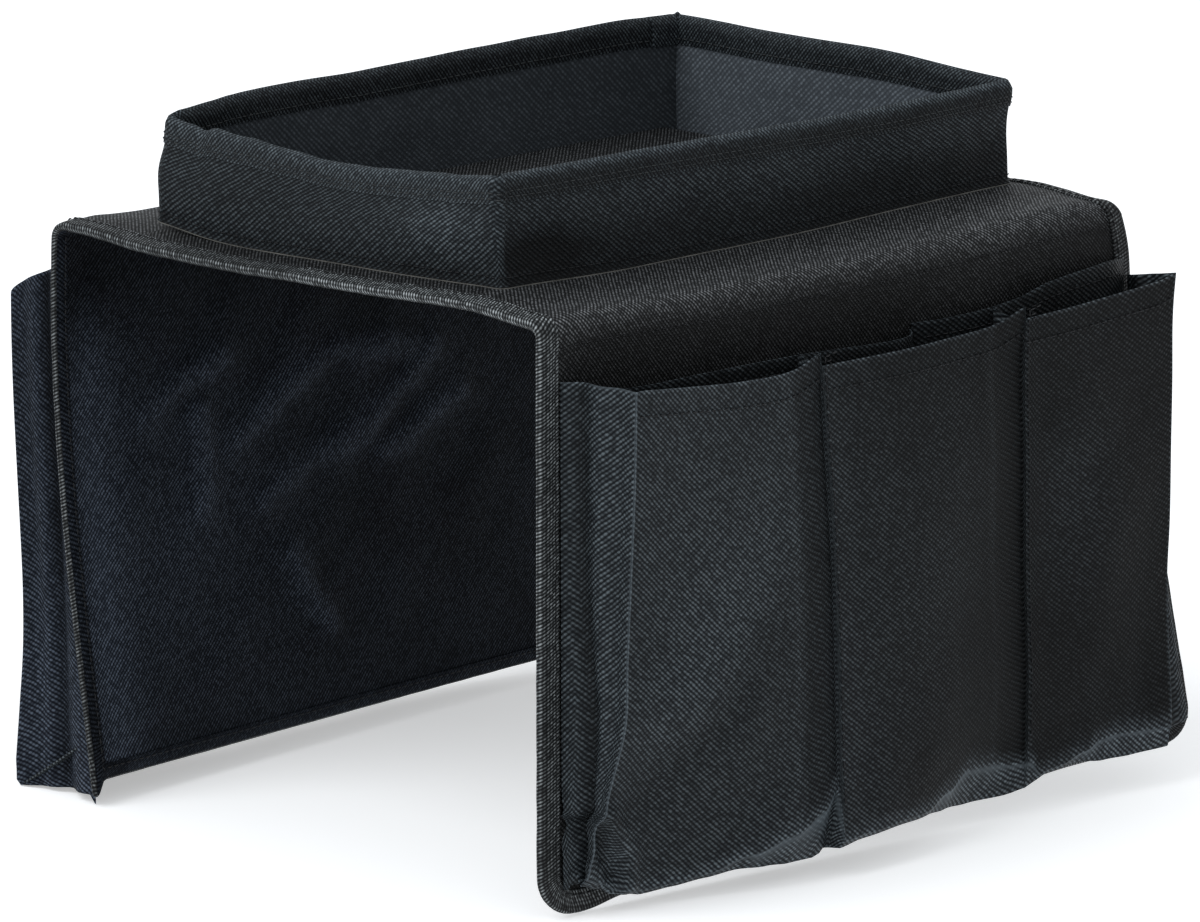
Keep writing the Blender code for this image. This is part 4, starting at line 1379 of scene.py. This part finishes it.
class MakeBags(bpy.types.Operator):
    """Sews each flap's pleated bag of three pockets, with its gussets and dividers"""

    bl_idname = "organizer.bags"
    bl_label = "Pleated bags"

    def execute(self, context):
        sizes = context.scene.organizer_sizes
        thick = sizes.cloth_thickness * BAG_CLOTH_SHARE
        for flap in FLAPS:
            rows, wear_and_painted_light = bag_front_rows(flap)
            piece = sew_grid(f"{flap.side}_bag_front_cloth", rows, cloth("pocket"), wear_and_painted_light,
                             thickness=thick, smooth=0.9)
            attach(piece, flap.body)
            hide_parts(f"{flap.side}_pocket_front_panel",
                        f"{flap.side}_pocket_bottom")
            for name, at_start in (("start", True), ("end", False)):
                rows, wear_and_painted_light = gusset_rows(flap, at_start)
                made_of = cloth("lining" if flap.turn < 0 and not at_start else "pocket")
                piece = sew_grid(f"{flap.side}_bag_{name}_gusset", rows, made_of, wear_and_painted_light,
                                 thickness=thick, smooth=0.9)
                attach(piece, flap.body)
                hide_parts(f"{flap.side}_pocket_{name}_gusset")
            for name, along in (("first", FIRST_SEAM), ("second", SECOND_SEAM)):
                self.sew_divider(flap, name, along, thick)
            self.stitch(flap, sizes.hem_depth)
        return {"FINISHED"}

    def sew_divider(self, flap, name, along, thick):
        """The sheet that parts two pockets, with a sagging upper edge."""
        rows = []
        for share in steps(0, 1, 30):
            row = []
            for across in steps(0, 1, 10):
                mouth = flap.bag_mouth(along) + 0.0030 * sin(pi * across) + 0.0012
                drop = mouth + (SEAT_DROP - 0.002 - mouth) * share
                near = COVER_OUT + 0.0008 + inner_depth(along, drop)
                far = BAG_OUT + flap.bag_depth(along, drop) - 0.0030
                far = max(far, near + 0.001)
                row.append(flap.place(along + 0.002 * sin(pi * across), drop,
                                      near + (far - near) * across))
            rows.append(row)
        piece = sew_grid(f"{flap.side}_bag_{name}_divider", rows, cloth("pocket"),
                         thickness=thick)
        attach(piece, flap.body)
        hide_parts(f"{flap.side}_pocket_{name}_divider")

    def stitch(self, flap, hem):
        """The hem's and the seams' stitching on the bag's front."""
        def surface(along, drop, height):
            mouth = flap.bag_mouth(along)
            share = (drop - mouth) / (POCKET_BOTTOM - mouth)
            out = front_out(flap, along, drop, pleat_dent(along), share) + 0.0003
            return flap.place(along, drop, out + height)

        stitches = []
        far = POCKET_END - 0.002
        hems = [(a, flap.bag_mouth(a) + hem) for a in steps(POCKET_START + 0.001, far, 130)]
        stitches += stitch_line(surface, hems)
        for seam in (FIRST_SEAM, SECOND_SEAM):
            top = flap.bag_mouth(seam) + 0.001
            stitches += stitch_line(surface, [(seam + 0.0014, drop)
                                              for drop in steps(top, 0.200, 60)])
            for bar in (0.0004, 0.0014, 0.0024):
                stitches += stitch_line(surface, [(seam + 0.001 + bar * 0.6, top + bar * 2),
                                                  (seam + 0.0068, top + bar * 2 - 0.001)])
        sew_stitches(f"{flap.side}_bag_stitching", stitches, flap.body)


def pleat_dent(along):
    """How far in the bag's front lies at a place beside a seam."""
    for seam in (FIRST_SEAM, SECOND_SEAM):
        places = [seam + da for da, _ in PLEAT]
        if places[0] <= along <= places[-1]:
            return read_eased(along, places, [dout for _, dout in PLEAT])
    return 0.0


# ---------------------------------------------------------------- inner pockets


def inner_mouth(along):
    """How far below the fold the inner pockets' mouths lie."""
    if along <= INNER_STEP:
        return read_curve(along, (0.030, 0.050, 0.075, 0.120, 0.165, 0.196),
                          (0.0285, 0.0275, 0.0260, 0.0262, 0.0285, 0.0300))
    return read_curve(along, (0.196, 0.212, 0.232, 0.248, 0.262, 0.285, 0.315),
                      (0.0278, 0.0278, 0.0276, 0.0264, 0.0238, 0.0224, 0.0212))


def inner_depth(along, drop):
    """How far the inner pockets' cloth stands off the flap."""
    mouth = inner_mouth(along)
    share = min(max((drop - mouth) / (INNER_BOTTOM - mouth), 0), 1)
    profile = read_curve(share, (0.0, 0.15, 0.35, 0.55, 0.75, 0.90, 1.0),
                         (1.0, 1.0, 0.95, 0.85, 0.60, 0.28, 0.0))
    if along <= INNER_STEP:
        place = (along - INNER_START) / (INNER_STEP - INNER_START)
        depth = 0.0170 * read_curve(
            place, (0.0, 0.05, 0.12, 0.25, 0.40, 0.50, 0.65, 0.80, 0.88, 0.94, 1.0),
            (0.0, 0.26, 0.46, 0.66, 0.78, 0.84, 0.94, 1.0, 0.92, 0.60, 0.0))
    else:
        place = (along - INNER_STEP) / (INNER_END - INNER_STEP)
        depth = 0.0095 * read_curve(
            place, (0.0, 0.08, 0.18, 0.28, 0.50, 0.72, 0.82, 0.92, 1.0),
            (0.0, 0.50, 0.82, 0.94, 1.0, 0.92, 0.80, 0.50, 0.0))
    return 0.0007 + max(depth, 0) * max(profile, 0)


class MakeInnerPockets(bpy.types.Operator):
    """Sews the flatter pockets behind each bag"""

    bl_idname = "organizer.inner_pockets"
    bl_label = "Inner pockets"

    def execute(self, context):
        sizes = context.scene.organizer_sizes
        thick = sizes.cloth_thickness * BAG_CLOTH_SHARE
        for flap in FLAPS:
            def surface(along, drop, height, flap=flap):
                return flap.place(along, drop, COVER_OUT + inner_depth(along, drop)
                                  + 0.0004 + height)

            stitches = []
            for name, first, last in (("long", INNER_START, INNER_STEP - 0.0006),
                                      ("short", INNER_STEP + 0.0006, INNER_END)):
                rows, wear_and_painted_light = [], []
                for share in [0.0, 0.003, 0.008] + steps(0.02, 1, 50):
                    row = []
                    for along in steps(first, last, 64):
                        mouth = inner_mouth(along)
                        drop = mouth + (INNER_BOTTOM - mouth) * share
                        out = COVER_OUT + inner_depth(along, drop)
                        out += 0.0006 * ripple(along, drop, 0.03, flap.seed) * min(share * 9, 1)
                        row.append(flap.place(along, drop, out))
                    rows.append(row)
                    # A painted highlight along each mouth, and painted shade over the rest of these
                    # pockets behind the bag.
                    wear_and_painted_light.append([0.6 * hump(share, 0.0, 0.006) - 0.55] * len(row))
                piece = sew_grid(f"{flap.side}_inner_{name}_cloth", rows, cloth("pocket"), wear_and_painted_light,
                                 thickness=thick)
                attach(piece, flap.body)
                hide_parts(f"{flap.side}_inner_pocket_{name}")
                hems = [(a, inner_mouth(a) + 0.006) for a in steps(first + 0.004, last - 0.004, 50)]
                stitches += stitch_line(surface, hems)
            sew_stitches(f"{flap.side}_inner_stitching", stitches, flap.body)
        return {"FINISHED"}


# ---------------------------------------------------------------- stage


class MakeStage(bpy.types.Operator):
    """Sets the floor, the soft studio light and the camera"""

    bl_idname = "organizer.stage"
    bl_label = "Stage"

    def execute(self, context):
        scene = context.scene
        stage = scene.organizer_stage
        scene.view_settings.view_transform = "Standard"
        t = ShaderTree("studio_floor")
        t.shader.inputs["Base Color"].default_value = (*scene.organizer_colours.floor, 1)
        t.shader.inputs["Roughness"].default_value = 0.8
        t.shader.inputs["Specular IOR Level"].default_value = 0.1
        t.shader.inputs["Emission Color"].default_value = (1, 1, 1, 1)
        t.shader.inputs["Emission Strength"].default_value = 0.42 * stage.light
        mesh = bpy.data.meshes.new("studio_floor")
        form = bmesh.new()
        corners = ((-9, -9), (9, -9), (9, 9), (-9, 9))
        form.faces.new([form.verts.new((x, y, -STANDING_DROP)) for x, y in corners])
        form.to_mesh(mesh)
        form.free()
        mesh.materials.append(t.material)
        floor = bpy.data.objects.new("studio_floor", mesh)
        scene.collection.objects.link(floor)

        world = bpy.data.worlds.new("studio")
        world.use_nodes = True
        sky = world.node_tree.nodes["Background"]
        sky.inputs["Color"].default_value = SKY_COLOUR
        sky.inputs["Strength"].default_value = SKY_STRENGTH * stage.light
        scene.world = world
        for name, aim, power, spread, colour in LAMPS:
            light = bpy.data.lights.new(name, "SUN")
            light.energy = power * stage.light
            light.angle = radians(spread)
            light.color = colour
            lamp = bpy.data.objects.new(name, light)
            lamp.rotation_euler = Vector(aim).to_track_quat("-Z", "Y").to_euler()
            scene.collection.objects.link(lamp)

        az, el = stage.azimuth, stage.elevation
        back = Vector((sin(az) * cos(el), -cos(az) * cos(el), sin(el)))
        right = (-back).cross(Vector((0, 0, 1))).normalized()
        up = right.cross(-back)
        data = bpy.data.cameras.new("camera")
        data.lens = stage.lens
        data.sensor_width = 36.0
        data.clip_start = 0.1
        data.clip_end = 30
        camera = bpy.data.objects.new("camera", data)
        target = Vector((0, 0, 0.1 - FLAP_DROP))
        camera.location = target + back * stage.distance + right * SHIFT_RIGHT + up * SHIFT_UP
        camera.rotation_mode = "QUATERNION"
        camera.rotation_quaternion = (-back).to_track_quat("-Z", "Y")
        scene.collection.objects.link(camera)
        scene.camera = camera
        return {"FINISHED"}


class OrganizerPanel(bpy.types.Panel):
    """Lists the organizer's pieces and what can be changed"""

    bl_idname = "VIEW3D_PT_organizer"
    bl_label = "Armrest organizer"
    bl_space_type = "VIEW_3D"
    bl_region_type = "UI"
    bl_category = "Organizer"

    def draw(self, context):
        scene = context.scene
        for group in (scene.organizer_sizes, scene.organizer_colours, scene.organizer_stage):
            box = self.layout.box()
            for name in group.bl_rna.properties.keys():
                if name not in ("rna_type", "name"):
                    box.prop(group, name)
        for operator in OPERATORS:
            self.layout.operator(operator.bl_idname)


OPERATORS = (MakeBoards, MakeTopCover, MakeSideCovers, MakeLinings, MakeTapes, MakeTray,
             MakeBags, MakeInnerPockets, MakeStage)
GROUPS = (OrganizerSizes, OrganizerColours, OrganizerStage)


def register():
    """Makes the classes known to Blender."""
    for kind in (*GROUPS, *OPERATORS, OrganizerPanel):
        bpy.utils.register_class(kind)
    bpy.types.Scene.organizer_sizes = PointerProperty(type=OrganizerSizes)
    bpy.types.Scene.organizer_colours = PointerProperty(type=OrganizerColours)
    bpy.types.Scene.organizer_stage = PointerProperty(type=OrganizerStage)


def unregister():
    """Takes the classes away again."""
    del bpy.types.Scene.organizer_sizes
    del bpy.types.Scene.organizer_colours
    del bpy.types.Scene.organizer_stage
    for kind in reversed((*GROUPS, *OPERATORS, OrganizerPanel)):
        bpy.utils.unregister_class(kind)


def main():
    """Sews every piece."""
    register()
    for operator in OPERATORS:
        group, name = operator.bl_idname.split(".")
        getattr(getattr(bpy.ops, group), name)()


if __name__ == "__main__":
    main()
